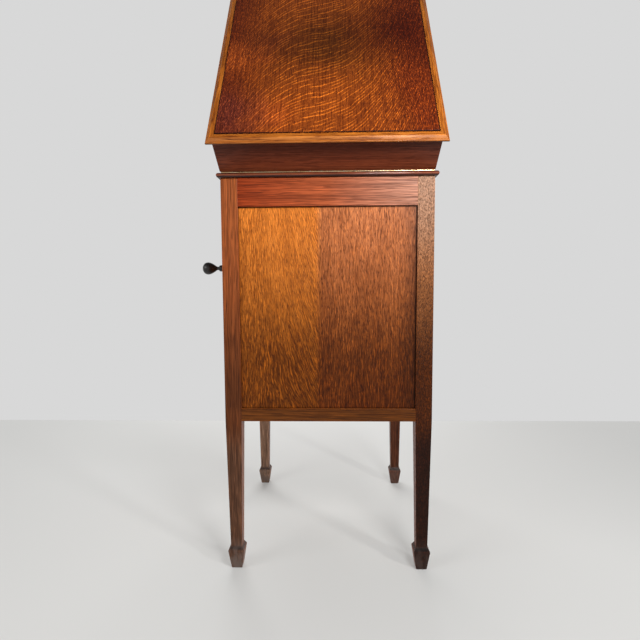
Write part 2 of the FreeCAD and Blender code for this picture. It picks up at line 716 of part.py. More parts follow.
def build_doors():
    low = low_rail_top + s.door_gap
    high = apron_low - s.door_gap
    face = -half_deep
    back = face + s.door_thick
    inner = s.door_gap / 2
    outer = span["front"] - s.door_gap
    groove_y = (face + s.door_recess, face + s.door_recess + s.door_panel)
    tongue = 6.0
    for side, sign in (("left", -1), ("right", 1)):

        def across(a, b):
            return (a, b) if sign > 0 else (-b, -a)

        slot_z = (low + tongue, high - tongue)
        near = inner + s.door_stile
        far = outer - s.door_stile
        first = less(block(across(inner, near), (face, back), (low, high)),
                     block(across(near - s.door_groove, near), groove_y, slot_z))
        second = less(block(across(far, outer), (face, back), (low, high)),
                      block(across(far, far + s.door_groove), groove_y, slot_z))
        rails = []
        for z, tongue_z, slot in (
            ((low, low + s.door_stile), (low + tongue, low + s.door_stile - s.door_groove),
             (low + s.door_stile - s.door_groove, low + s.door_stile)),
            ((high - s.door_stile, high), (high - s.door_stile + s.door_groove, high - tongue),
             (high - s.door_stile, high - s.door_stile + s.door_groove)),
        ):
            bar = block(across(near, far), (face, back), z)
            ends = block(across(near - s.door_groove, far + s.door_groove), groove_y, tongue_z)
            rails.append(less(join(bar, ends), block(across(near, far), groove_y, slot)))
        keep(side + "_door_frame", first, second, *rails)
        reach = s.door_groove - s.groove_gap
        panel_z = (low + s.door_stile - reach, high - s.door_stile + reach)
        keep(side + "_door_panel", block(across(near - reach, far + reach), groove_y, panel_z))

        radius = float(s.door_knob_radius)
        length = float(s.door_knob_length)
        form = lathe(
            [(radius * 0.7, 0), (radius * 0.62, length * 0.1), (radius * 0.36, length * 0.3),
             (radius * 0.62, length * 0.5), (radius * 0.98, length * 0.72), (radius * 0.72, length * 0.94),
             (radius * 0.3, length)],
            [(0, length), (0, 0)],
        )
        knob = formed(form)
        put(knob, sign * (inner + s.door_stile / 2), face, (low + high) / 2, *AXES["-Y"])

        axis_x = sign * (outer + s.door_gap / 2)
        pin_y = face - s.door_knuckle - 0.2
        third = s.door_hinge_height / 3
        through = s.door_hinge_height + 2
        leaves = []
        for foot in (low + s.door_hinge_end, high - s.door_hinge_end - s.door_hinge_height):
            top = foot + s.door_hinge_height
            leaf_y = (face, face + s.door_hinge_width)
            pin = s.hinge_pin_radius + s.running_fit
            post_x = across(span["front"] - s.door_hinge_leaf, span["front"])
            door_x = across(outer, outer + s.door_hinge_leaf)
            cut = s.knuckle_gap / 2
            post = [block(post_x, leaf_y, (foot, top))]
            for start, end in ((foot, foot + third - cut), (top - third + cut, top)):
                post.append(block(post_x, (pin_y, face), (start, end)))
                post.append(rod(axis_x, pin_y, start, "Z", s.door_knuckle, end - start))
            case_brass.append(less(join(*post), rod(axis_x, pin_y, foot - 1, "Z", pin, through)))
            hinge_pins.append(rod(axis_x, pin_y, foot, "Z", s.hinge_pin_radius, s.door_hinge_height))
            start = foot + third + cut
            end = top - third - cut
            door = [block(door_x, leaf_y, (foot, top)), block(door_x, (pin_y, face), (start, end))]
            door.append(rod(axis_x, pin_y, start, "Z", s.door_knuckle, end - start))
            leaves.append(less(join(*door), rod(axis_x, pin_y, foot - 1, "Z", pin, through)))
        keep(side + "_door_brasswork", knob, *leaves)
    keep("case_brasswork", *case_brass)
    keep("lid_brasswork", *lid_brass)
    keep("hinge_pins", *hinge_pins)


floor_top = low_rail_top + s.floor_thick
mouth_y = s.rail_thick + s.louvre_deep - half_deep


def build_horn():
    inside = half_wide - panel_back - s.board_gap
    notch = span["front"] - s.board_gap
    edge = half_deep - panel_back - s.board_gap
    corner = span["left"] - s.board_gap
    front = s.rail_thick - 2 - half_deep
    plan = block((-inside, inside), (front, edge), (low_rail_top, floor_top))
    cuts = []
    for x in ((-inside - 1, -notch), (notch, inside + 1)):
        cuts.append(block(x, (corner, edge + 1), (low_rail_top - 1, floor_top + 1)))
        cuts.append(block(x, (front - 1, -corner), (low_rail_top - 1, floor_top + 1)))
    keep("bottom_board", less(plan, *cuts))

    wide = span["front"]
    clear = wide - s.louvre_frame
    y = (s.rail_thick - half_deep, mouth_y)
    slats = [
        block((-wide, -clear), y, (floor_top, apron_low)),
        block((clear, wide), y, (floor_top, apron_low)),
        block((-clear, clear), y, (floor_top, floor_top + s.louvre_frame)),
        block((-clear, clear), y, (apron_low - s.louvre_frame, apron_low)),
    ]
    opening = apron_low - floor_top - 2 * s.louvre_frame
    half_y = s.louvre_width / 2 * cosine(s.louvre_tilt) - s.louvre_thick / 2 * sine(s.louvre_tilt)
    half_z = s.louvre_width / 2 * sine(s.louvre_tilt) + s.louvre_thick / 2 * cosine(s.louvre_tilt)
    for k in range(int(s.louvre_count.value)):
        middle = floor_top + s.louvre_frame + opening * (k + 0.5) / s.louvre_count
        slat = doc.addObject("Part::Box", "Slat")
        bind(slat, Length=2 * clear, Width=s.louvre_width, Height=s.louvre_thick)
        put(slat, -clear, (y[0] + y[1]) / 2 - half_y, middle - half_z, V(1, 0, 0), s.louvre_tilt)
        slats.append(slat)
    keep("louvres", *slats)

    wall = float(s.horn_wall)
    throat = float(s.throat_half)
    level = float(s.throat_height)
    inset = float(s.louvre_frame + s.horn_mouth_inset)
    mouth_x = float(wide) - inset
    mouth_low = float(floor_top) + inset
    mouth_high = float(apron_low) - inset
    near = (-throat, throat, level - throat, level + throat, float(throat_y))
    far = (-mouth_x, mouth_x, mouth_low, mouth_high, float(mouth_y))

    def quad(ends, side):
        x0, x1, z0, z1, at = ends
        inner = {"top": ((x0, z1), (x1, z1)), "low": ((x1, z0), (x0, z0)),
                 "left": ((x0, z0), (x0, z1)), "right": ((x1, z1), (x1, z0))}[side]
        outer = []
        for x, z in inner:
            outer.append((x + (wall if x == x1 else -wall), z + (wall if z == z1 else -wall)))
        ring = [V(x, at, z) for x, z in (inner[0], inner[1], outer[1], outer[0])]
        return Part.makePolygon(ring + [ring[0]])

    boards = []
    for side in ("top", "right", "low", "left"):
        boards.append(Part.makeLoft([quad(near, side), quad(far, side)], True, True))
    keep("horn_boards", formed(Part.makeCompound(boards)))

    bore = float(s.elbow_radius)
    bend = float(s.elbow_bend)
    at = float(arm_y)
    top = float(board_low)
    slope = bend * math.sqrt(0.5)

    def bent(radius, extra):
        down = Part.makeLine(V(0, at, top + extra), V(0, at, level + bend))
        turn = Part.Arc(V(0, at, level + bend), V(0, at - bend + slope, level + bend - slope),
                        V(0, at - bend, level))
        out = Part.makeLine(V(0, at - bend, level), V(0, float(throat_y) - extra, level))
        return swept([down, turn.toShape(), out], radius)

    thick = float(s.elbow_flange)
    square = float(s.elbow_square)
    flange = Part.makeCylinder(float(s.elbow_flange_radius), thick, V(0, at, top - thick))
    plate = Part.makeBox(2 * square, thick, 2 * square, V(-square, float(throat_y), level - square))
    outer = bent(bore + float(s.elbow_wall), 0).fuse([flange, plate])
    keep("horn_elbow", formed(outer.cut(bent(bore, 1)).removeSplitter()))


centre_y = -s.spindle_front
bed_top = board_low - s.grommet
bed_low = bed_top - s.bed_thick
base_top = bed_low - s.plate_gap
base_low = base_top - s.base_thick
crank_z = board_top - s.crank_below
barrel_low = crank_z + s.barrel_above
platter_low = board_top + s.platter_rise
cloth_top = platter_low + s.platter_height + s.cloth_thick
pillars = (
    (10 - s.plate_left, centre_y + s.plate_back - 10),
    (s.plate_right - 10, centre_y + s.plate_back - 10),
    (s.barrel_right + 5, centre_y + 8 - s.plate_front),
    (-10.0, centre_y + 8 - s.plate_front),
)
dial = (-s.dial_left, centre_y - s.dial_front)
lever_pivot = (-s.lever_pivot_left, centre_y - s.lever_pivot_front)
brake_radius = s.platter_radius + 0.3
brake_pad = (brake_radius * cosine(s.brake_angle), centre_y - brake_radius * sine(s.brake_angle))
brake_pivot = (brake_pad[0] + s.brake_reach * 0.9, brake_pad[1] + s.brake_reach * 0.436)
cup_x = span["front"] + 3 - s.cup_radius
cup_y = s.cup_radius - 1 - span["left"]
cups = ((cup_x, cup_y), (cup_x - 2 * s.cup_radius - 5, cup_y), (-cup_x, cup_y))
bearer_x = half_wide - s.rail_thick - s.bearer_side / 2
bearer_y = half_deep - s.rail_thick - s.bearer_side / 2
bearer_front = 10 - span["left"]
screws = (
    (-bearer_x, bearer_front + s.screw_inset), (bearer_x, bearer_front + s.screw_inset),
    (-bearer_x, s.bearer_back - s.screw_inset), (bearer_x, s.bearer_back - s.screw_inset),
    (2 * s.screw_inset - span["back"], bearer_y), (span["back"] - 2 * s.screw_inset, bearer_y),
)
mesh_near = s.gear_module * (s.pinion_teeth + s.counter_teeth) / 2
mesh_far = s.gear_module * (s.pinion_teeth + s.great_teeth) / 2
mesh_gain = mesh_near * mesh_near - mesh_far * mesh_far
counter_x = (s.barrel_right + mesh_gain / s.barrel_right) / 2
counter_y = centre_y - square_root(mesh_near * mesh_near - counter_x * counter_x)


def build_board():
    wide = half_wide - s.rail_thick - s.board_gap
    deep = half_deep - s.rail_thick - s.board_gap
    z = (board_low, board_top)
    cut_z = (board_low - 1, board_top + 1)
    through = s.board_thick + 2
    board = block((-wide, wide), (-deep, deep), z)
    cuts = []
    inner_x = span["front"] - s.board_gap
    inner_y = span["left"] - s.board_gap
    for x in ((-wide - 1, -inner_x), (inner_x, wide + 1)):
        cuts.append(block(x, (inner_y, deep + 1), cut_z))
        cuts.append(block(x, (-deep - 1, -inner_y), cut_z))
    cuts.append(rod(0.0, centre_y, cut_z[0], "Z", s.spindle_radius + 4, through))
    cuts.append(rod(0.0, arm_y, cut_z[0], "Z", s.elbow_radius, through))
    cuts.append(rod(dial[0], dial[1], cut_z[0], "Z", 3.0 + s.running_fit, through))
    cuts.append(rod(brake_pivot[0], brake_pivot[1], cut_z[0], "Z", 3.0, through))
    for x, y in pillars:
        cuts.append(rod(x, y, cut_z[0], "Z", s.bolt_radius, through))
    for x, y in cups:
        cuts.append(rod(x, y, board_top - s.cup_depth - 1, "Z", s.cup_radius - 3, s.cup_depth + 2))
    for x, y in screws:
        cuts.append(rod(x, y, cut_z[0], "Z", 2.0, through))
    slot_x = (stay_x - 1, stay_x + s.stay_thick + 1)
    cuts.append(block(slot_x, (stay_front - 1, stay_back + 8), cut_z))
    keep("motor_board", less(board, *cuts))

    bearer_z = (board_low - s.bearer_side, board_low)
    side_x = half_wide - s.rail_thick
    back_y = half_deep - s.rail_thick
    reach_y = (bearer_front, s.bearer_back)
    left = block((-side_x, s.bearer_side - side_x), reach_y, bearer_z)
    right = block((side_x - s.bearer_side, side_x), reach_y, bearer_z)
    reach_x = span["back"] - s.screw_inset / 2
    back = block((-reach_x, reach_x), (back_y - s.bearer_side, back_y), bearer_z)
    holes = [rod(x, y, board_low - 12, "Z", 2.0, 13.0) for x, y in screws]
    keep("board_bearers", less(left, holes[0], holes[2]), less(right, holes[1], holes[3]),
         less(back, holes[4], holes[5]))
    shank = s.board_thick + 10
    for x, y in screws:
        deck_screws.append(turned(x, y, board_low - 10, "Z", (
            (0, 0), (2.0, 0), (2.0, shank), (4.5, shank), (3.4, shank + 1.4), (0, shank + 2))))
    rim = s.cup_radius
    well = s.cup_radius - 3
    keep("needle_cups", *[
        turned(x, y, board_top - s.cup_depth, "Z", (
            (0, 0), (well, 0), (well, s.cup_depth), (rim, s.cup_depth), (rim, s.cup_depth + 1),
            (rim - 1, s.cup_depth + 1.8), (well - 1.2, s.cup_depth + 1.8), (well - 1.2, 4.0),
            (well - 5, 1.2), (0, 1.2)))
        for x, y in cups
    ])


def spur(teeth, first, bore, thick):
    # A spur wheel with involute flanks; one tooth points in the direction given, in degrees.
    module = float(s.gear_module)
    slack = float(s.gear_slack)
    pitch = teeth * module / 2
    base = pitch * math.cos(math.radians(20))
    root = pitch - 1.2 * module
    tip = pitch + 0.85 * module
    half = math.pi / (2 * teeth) - slack / (4 * pitch)
    rise = math.tan(math.radians(20)) - math.radians(20)

    def spread(radius):
        lean = math.acos(min(1.0, base / radius))
        return half + rise - (math.tan(lean) - lean)

    start = max(base, root + 0.05)
    flank = [(root, spread(start))]
    for k in range(4):
        radius = start + (tip - start) * k / 3
        flank.append((radius, spread(radius)))
    points = []
    for k in range(teeth):
        middle = math.radians(first) + 2 * math.pi * k / teeth
        for radius, angle in flank:
            points.append(V(radius * math.cos(middle - angle), radius * math.sin(middle - angle), 0))
        for radius, angle in reversed(flank):
            points.append(V(radius * math.cos(middle + angle), radius * math.sin(middle + angle), 0))
    hole = Part.Wire([Part.Circle(V(0, 0, 0), V(0, 0, 1), float(bore)).toShape()])
    face = Part.Face([Part.makePolygon(points + [points[0]]), hole])
    face.validate()
    return face.extrude(V(0, 0, thick))


def bevel(teeth, mate, first, bore):
    # A bevel wheel with its cone's point at the origin and its back face below.
    module = float(s.bevel_module)
    pitch = teeth * module / 2
    deep = mate * module / 2
    slope = math.atan2(pitch, deep)
    reach = math.hypot(pitch, deep)
    small = (reach - float(s.bevel_face)) / reach
    head = 0.8 * module
    foot = 1.1 * module
    half = math.pi * module / 4 - float(s.bevel_slack) / 4
    lean = math.tan(math.radians(20))
    spots = []
    for shift in (-foot, head):
        radius = pitch + shift * math.cos(slope)
        depth = deep - shift * math.sin(slope)
        spots.append((radius, depth, (half - shift * lean) / radius))
    (root_r, root_d, root_a), (tip_r, tip_d, tip_a) = spots

    def ring(depth):
        points = []
        for k in range(teeth):
            middle = math.radians(first) + 2 * math.pi * k / teeth
            for slope_r, angle in ((root_r / root_d, -root_a), (tip_r / tip_d, -tip_a),
                                   (tip_r / tip_d, tip_a), (root_r / root_d, root_a)):
                radius = depth * slope_r
                toward = middle + angle
                points.append(V(radius * math.cos(toward), radius * math.sin(toward), -depth))
        return Part.makePolygon(points + [points[0]])

    back = root_d + 2.5
    teeth_cone = Part.makeLoft([ring(small * tip_d * 0.8), ring(back + 1)], True, True)
    under_r = root_r - 0.6 * math.cos(slope)
    under_d = root_d + 0.6 * math.sin(slope)
    blank = [(bore, small * under_d), (small * under_r, small * under_d), (small * tip_r, small * tip_d),
             (tip_r, tip_d), (under_r, under_d), (under_r - 0.5, back), (bore, back)]
    face = Part.Face(Part.makePolygon([V(r, 0, -d) for r, d in blank + [blank[0]]]))
    return teeth_cone.common(face.revolve(V(0, 0, 0), V(0, 0, 1), 360)).Solids[0]


def bearing(angle_from, angle_to):
    return math.degrees(math.atan2(angle_to[1] - angle_from[1], angle_to[0] - angle_from[0]))


def build_motor():
    plan = (
        (8 - s.plate_left, -s.plate_front), (s.plate_right - 8, -s.plate_front),
        (s.plate_right, 8 - s.plate_front), (s.plate_right, s.plate_back - 8),
        (s.plate_right - 8, s.plate_back), (8 - s.plate_left, s.plate_back),
        (-s.plate_left, s.plate_back - 8), (-s.plate_left, 8 - s.plate_front),
    )
    journal = s.arbor_radius + s.running_fit
    spindle_hole = s.spindle_radius + s.running_fit
    bed = padded(0.0, centre_y, bed_low, plan, s.bed_thick)
    bed_holes = [rod(0.0, centre_y, bed_low - 1, "Z", spindle_hole, s.bed_thick + 2)]
    base_holes = [rod(0.0, centre_y, base_low - 1, "Z", journal, s.base_thick + 2)]
    for x, y in ((counter_x, counter_y), (s.barrel_right, centre_y)):
        bed_holes.append(rod(x, y, bed_low - 1, "Z", journal, s.bed_thick + 2))
        base_holes.append(rod(x, y, base_low - 1, "Z", journal, s.base_thick + 2))
    for x, y in pillars:
        bed_holes.append(rod(x, y, bed_low - 1, "Z", s.bolt_radius, s.bed_thick + 2))
    base = padded(0.0, centre_y, base_low, plan, s.base_thick)
    posts = [rod(x, y, base_top, "Z", s.pillar_radius, s.plate_gap) for x, y in pillars]
    keep("motor_frame", less(bed, *bed_holes), less(base, *base_holes), *posts)
    keep("motor_grommets", *[
        less(rod(x, y, bed_top, "Z", s.bolt_radius + 6, s.grommet),
             rod(x, y, bed_top - 1, "Z", s.bolt_radius, s.grommet + 2))
        for x, y in pillars
    ])
    shank = board_top - bed_low
    thin = s.bolt_radius - s.running_fit
    for x, y in pillars:
        deck_screws.append(turned(x, y, bed_low, "Z", (
            (0, 0), (thin, 0), (thin, shank), (s.bolt_radius * 2, shank),
            (s.bolt_radius * 2, shank + s.bolt_head * 0.6), (s.bolt_radius * 1.4, shank + s.bolt_head),
            (0, shank + s.bolt_head))))

    spindle_at = (0.0, float(centre_y))
    counter_at = (float(counter_x), float(counter_y))
    barrel_at = (float(s.barrel_right), float(centre_y))
    pinion = int(s.pinion_teeth.value)
    counter = int(s.counter_teeth.value)
    great = int(s.great_teeth.value)
    barrel_high = barrel_low + s.barrel_height
    wheel_low = barrel_high + 1.5
    wheel_high = wheel_low + 4
    toward_counter = bearing(spindle_at, counter_at)
    toward_barrel = bearing(counter_at, barrel_at)

    lower = base_low + 0.2
    stub = base_top + 2
    seat = platter_low - lower
    tip = cloth_top + s.spindle_tip - lower
    shaft = turned(0.0, centre_y, lower, "Z", (
        (0, 0), (s.arbor_radius, 0), (s.arbor_radius, stub - lower), (s.spindle_radius, stub - lower),
        (s.spindle_radius, seat), (s.spindle_neck, seat), (s.spindle_neck, seat + s.platter_height),
        (s.spindle_tip_radius, seat + s.platter_height), (s.spindle_tip_radius, tip - 2),
        (s.spindle_tip_radius * 0.6, tip), (0, tip)))
    leaves = formed(spur(pinion, toward_counter, s.spindle_radius, float(wheel_high - wheel_low) + 1))
    put(leaves, 0.0, centre_y, wheel_low - 0.5)
    keep("spindle", shaft, leaves, governor_wheel())

    counter_shaft = rod(counter_x, counter_y, base_low, "Z", s.arbor_radius, bed_top - base_low)
    leaves = formed(spur(pinion, toward_barrel, s.arbor_radius, 8.0))
    put(leaves, counter_x, counter_y, barrel_low - 1)
    wheel = formed(spur(counter, toward_counter + 180 + 180 / counter, s.arbor_radius, 4.0))
    put(wheel, counter_x, counter_y, wheel_low)
    keep("countershaft", counter_shaft, leaves, wheel)

    inner = s.barrel_radius - s.barrel_wall
    drum = turned(s.barrel_right, centre_y, barrel_low, "Z", (
        (s.hub_radius + s.running_fit, 0), (s.barrel_radius, 0), (s.barrel_radius, s.barrel_height),
        (inner, s.barrel_height), (inner, s.barrel_wall), (s.hub_radius + s.running_fit, s.barrel_wall)))
    ring = formed(spur(great, toward_barrel + 180 + 180 / great, s.barrel_radius, 6.0))
    put(ring, s.barrel_right, centre_y, barrel_low)
    cover = turned(s.barrel_right, centre_y, barrel_high - s.barrel_wall, "Z", (
        (s.hub_radius + s.running_fit, 0), (inner, 0), (inner, s.barrel_wall),
        (s.hub_radius + s.running_fit, s.barrel_wall)))
    keep("spring_barrel", drum, ring, cover)

    pitch = float(s.spring_pitch)
    thick = float(s.spring_thick)
    start = float(inner) - 0.1 - pitch * float(s.spring_turns)
    outer = []
    inside = []
    for k in range(int(2 * s.spring_turns.value)):
        radius = start + pitch / 2 * k
        middle = 0.0 if k % 2 == 0 else pitch / 2
        turn = 1 if k % 2 == 0 else -1
        for r, run in ((radius, outer), (radius - thick, inside)):
            run.append((V(middle + turn * r, 0, 0), V(middle, turn * r, 0), V(middle - turn * r, 0, 0)))
    edges = [Part.Arc(*arc).toShape() for arc in outer]
    edges.append(Part.makeLine(outer[-1][2], inside[-1][2]))
    edges += [Part.Arc(c, b, a).toShape() for a, b, c in reversed(inside)]
    edges.append(Part.makeLine(inside[0][0], outer[0][0]))
    strip = Part.Face(Part.Wire(edges)).extrude(V(0, 0, float(s.spring_width)))
    coil = formed(strip)
    put(coil, s.barrel_right, centre_y, barrel_low + s.barrel_wall + 1)
    keep("mainspring", coil)


def build_winding():
    wheel = int(s.bevel_wheel.value)
    pinion = int(s.bevel_pinion.value)
    crown = formed(bevel(wheel, pinion, 0.0, float(s.arbor_radius)))
    put(crown, s.barrel_right, centre_y, crank_z)
    hub = rod(s.barrel_right, centre_y, barrel_low - 0.5, "Z", s.hub_radius, s.barrel_height + 1)
    thin = rod(s.barrel_right, centre_y, base_low, "Z", s.arbor_radius, bed_top - base_low)
    keep("winding_arbor", join(hub, thin), crown)

    small = formed(bevel(pinion, wheel, 180.0 / pinion, float(s.shaft_radius)))
    put(small, s.barrel_right, centre_y, crank_z, V(0, 1, 0), -90.0)
    from_x = s.barrel_right + s.bevel_wheel * s.bevel_module / 2 - s.bevel_face
    arm_x = half_wide + s.crank_out
    end_x = arm_x + s.crank_arm_thick
    shaft = rod(from_x, centre_y, crank_z, "X", s.shaft_radius, end_x - from_x - 1)
    knob_z = crank_z - s.crank_throw
    eye = rod(arm_x, centre_y, crank_z, "X", s.crank_eye, s.crank_arm_thick)
    foot = rod(arm_x, centre_y, knob_z, "X", s.crank_foot, s.crank_arm_thick)
    bar = block((arm_x + 1, end_x - 1), (centre_y - 5.5, centre_y + 5.5), (knob_z, crank_z))
    pin_length = s.crank_arm_thick + s.knob_room + s.knob_collar + 26
    pin = rod(arm_x, centre_y, knob_z, "X", s.crank_pin, pin_length)
    keep("crank", join(shaft, eye, foot, bar, pin), small)

    bore = float(s.crank_pin + s.running_fit)
    collar = float(s.knob_collar)
    neck = float(s.knob_neck)
    wide = float(s.knob_radius)
    long = float(s.knob_length)
    well = collar + 27
    pear = [(neck + 0.6, collar), (neck, collar + long * 0.07), (neck + 3.9, collar + long * 0.25),
            (wide * 0.86, collar + long * 0.46), (wide, collar + long * 0.66),
            (wide * 0.87, collar + long * 0.85), (wide * 0.52, collar + long * 0.96), (0.0, collar + long)]
    ring = float(s.knob_collar_radius)
    form = lathe(pear, [(0, well), (bore, well), (bore, 0), (ring - 2.5, 0), (ring - 0.6, 2),
                        (ring, collar / 2), (ring - 0.6, collar - 2), (ring - 2.5, collar)])
    knob = formed(form)
    put(knob, end_x + s.knob_room, centre_y, knob_z, *AXES["X"])
    keep("crank_knob", knob)

    face_x = half_wide - s.panel_recess
    sleeve = s.panel_thick + s.escutcheon_thick
    keep("crank_escutcheon", turned(face_x - s.panel_thick, centre_y, crank_z, "X", (
        (s.shaft_radius + s.running_fit, 0), (s.escutcheon_sleeve, 0), (s.escutcheon_sleeve, s.panel_thick),
        (s.escutcheon_radius, s.panel_thick), (s.escutcheon_radius, sleeve - 2),
        (s.escutcheon_radius - 3, sleeve - 1), (s.escutcheon_sleeve, sleeve + 2),
        (s.shaft_radius + s.running_fit, sleeve + 2))))
    bear_x = (s.plate_right - 18, s.plate_right - 8)
    support = block(bear_x, (centre_y - 9, centre_y + 9), (base_top, crank_z + 9))
    hole = rod(bear_x[0] - 1, centre_y, crank_z, "X", s.shaft_radius + s.running_fit, 12.0)
    motor_bearings.append(less(support, hole))


governor_z = crank_z + s.governor_above
governor_x = -s.worm_wheel_radius - s.worm_radius


worm_head = 0.7
worm_foot = 1.0
worm_lean = math.tan(math.radians(20))
worm_pitch = 2 * math.pi * s.worm_wheel_radius.value / s.worm_teeth.value
worm_lead = worm_pitch * s.worm_starts.value
worm_half = worm_pitch / 4 - 0.18


def governor_wheel():
    teeth = int(s.worm_teeth.value)
    wheel_r = float(s.worm_wheel_radius)

    def ring(turn, z):
        points = []
        for k in range(teeth):
            middle = math.pi + 2 * math.pi * k / teeth + turn
            for shift, sign in ((-worm_foot, -1), (worm_head, -1), (worm_head, 1), (-worm_foot, 1)):
                radius = wheel_r + shift
                angle = middle + sign * (worm_half - shift * worm_lean) / wheel_r
                points.append(V(radius * math.cos(angle), radius * math.sin(angle), z))
        return Part.makePolygon(points + [points[0]])

    thick = float(s.worm_wheel_thick)
    twist = thick / 2 * worm_lead / (2 * math.pi * float(s.worm_radius)) / wheel_r
    blank = Part.makeLoft([ring(-twist, -thick / 2), ring(0, 0), ring(twist, thick / 2)], True, True)
    wheel = formed(blank.cut(Part.makeCylinder(float(s.spindle_radius), 2 * thick, V(0, 0, -thick))))
    return put(wheel, 0.0, centre_y, governor_z)


def build_governor():
    starts = int(s.worm_starts.value)
    worm_r = float(s.worm_radius)
    pitch = worm_pitch
    length = pitch * 5
    run = Part.makeHelix(worm_lead, length + 2 * pitch, worm_r)
    low_r = worm_r - worm_foot - 0.4
    high_r = worm_r + worm_head
    low_w = worm_half + (worm_foot + 0.4) * worm_lean
    high_w = worm_half - worm_head * worm_lean
    corners = [V(low_r, 0, -low_w), V(high_r, 0, -high_w), V(high_r, 0, high_w), V(low_r, 0, low_w)]
    thread = Part.Wire(run.Edges).makePipeShell([Part.makePolygon(corners + [corners[0]])], True, True)
    threads = []
    for k in range(starts):
        copy = thread.copy()
        copy.rotate(V(0, 0, 0), V(0, 0, 1), 360.0 * k / starts)
        threads.append(copy)
    core = Part.makeCylinder(worm_r - worm_foot, length + 2 * pitch)
    screw = core.fuse(threads)
    screw.translate(V(0, 0, -pitch * 3.5))
    trim = Part.makeCylinder(worm_r + 2, pitch * 4, V(0, 0, -pitch * 2))
    worm = formed(screw.common(trim))
    put(worm, governor_x, centre_y, governor_z, *AXES["Y"])
    front = centre_y - s.governor_front
    back = centre_y + s.governor_back
    shaft = rod(governor_x, front, governor_z, "Y", s.governor_shaft, back - front)
    ends = rod(governor_x, front - 4, governor_z, "Y", s.governor_journal, back - front + 8)
    spinner = join(shaft, ends, worm)

    for y in ((front - 5, front - 0.3), (back + 0.3, back + 5)):
        post = block((governor_x - 5, governor_x + 5), y, (base_top, governor_z + 5))
        hole = rod(governor_x, y[0] - 1, governor_z, "Y", s.governor_journal + s.running_fit, 8.0)
        motor_bearings.append(less(post, hole))
    keep("motor_bearings", *motor_bearings)

    disc_y = front + 8
    far_y = front + 40
    disc = turned(governor_x, disc_y, governor_z, "Y", (
        (s.governor_shaft, 0), (s.disc_radius, 0), (s.disc_radius, 2.5), (7.0, 2.5), (7.0, 7.0),
        (s.governor_shaft, 7.0)))
    collar = turned(governor_x, far_y, governor_z, "Y", (
        (s.governor_shaft, 0), (7.0, 0), (7.0, 6.0), (s.governor_shaft, 6.0)))
    keep("governor_shaft", spinner, disc, collar)

    weights = []
    leaves = []
    mid = float(far_y - disc_y) / 2
    reach = float(s.weight_reach)
    radius = float(s.weight_radius)
    for k in range(3):
        turn = 120.0 * k + 30
        path = [V(7.2, 0, 3), V(reach - radius * 0.55 - 0.6, 0, mid), V(7.2, 0, 2 * mid + 3)]
        spring = []
        for a, b in zip(path, path[1:]):
            corners = [a, b, b + V(0.6, 0, 0), a + V(0.6, 0, 0)]
            corners = [p - V(0, 2, 0) for p in corners]
            spring.append(Part.Face(Part.makePolygon(corners + [corners[0]])).extrude(V(0, 4, 0)))
        band = spring[0].fuse(spring[1])
        for low in (3.2, 2 * mid + 0.4):
            band = band.fuse(Part.makeBox(0.9, 4, 2.4, V(6.9, -2, low)))
        ball = Part.makeSphere(radius, V(reach, 0, mid))
        ball = ball.common(Part.makeBox(20, 20, 40, V(reach - radius * 0.55, -10, mid - 20)))
        for shape, group in ((band, leaves), (ball, weights)):
            shape.rotate(V(0, 0, 0), V(0, 0, 1), turn)
            group.append(shape)
    hub = Part.makeCylinder(7.0, 80, V(0, 0, -10))
    springs = formed(Part.makeCompound([leaf.cut(hub) for leaf in leaves]))
    put(springs, governor_x, disc_y, governor_z, *AXES["Y"])
    balls = formed(Part.makeCompound(weights))
    put(balls, governor_x, disc_y, governor_z, *AXES["Y"])
    keep("governor_weights", balls, springs)


def build_platter():
    bore = s.spindle_neck
    rim = s.platter_radius
    high = s.platter_height
    wall = s.platter_wall
    keep("platter", turned(0.0, centre_y, platter_low, "Z", (
        (bore, 0), (14.0, 0), (14.0, high - wall), (rim - wall, high - wall), (rim - wall, 0), (rim, 0),
        (rim, high - 1.5), (rim - 1.5, high), (bore, high))))
    edge = rim - 1.5
    hole = bore + s.cloth_gap
    thick = s.cloth_thick
    keep("platter_cloth", turned(0.0, centre_y, platter_low + high, "Z", (
        (hole, 0), (edge, 0), (edge, thick - 0.5), (edge - 0.8, thick), (hole, thick))))


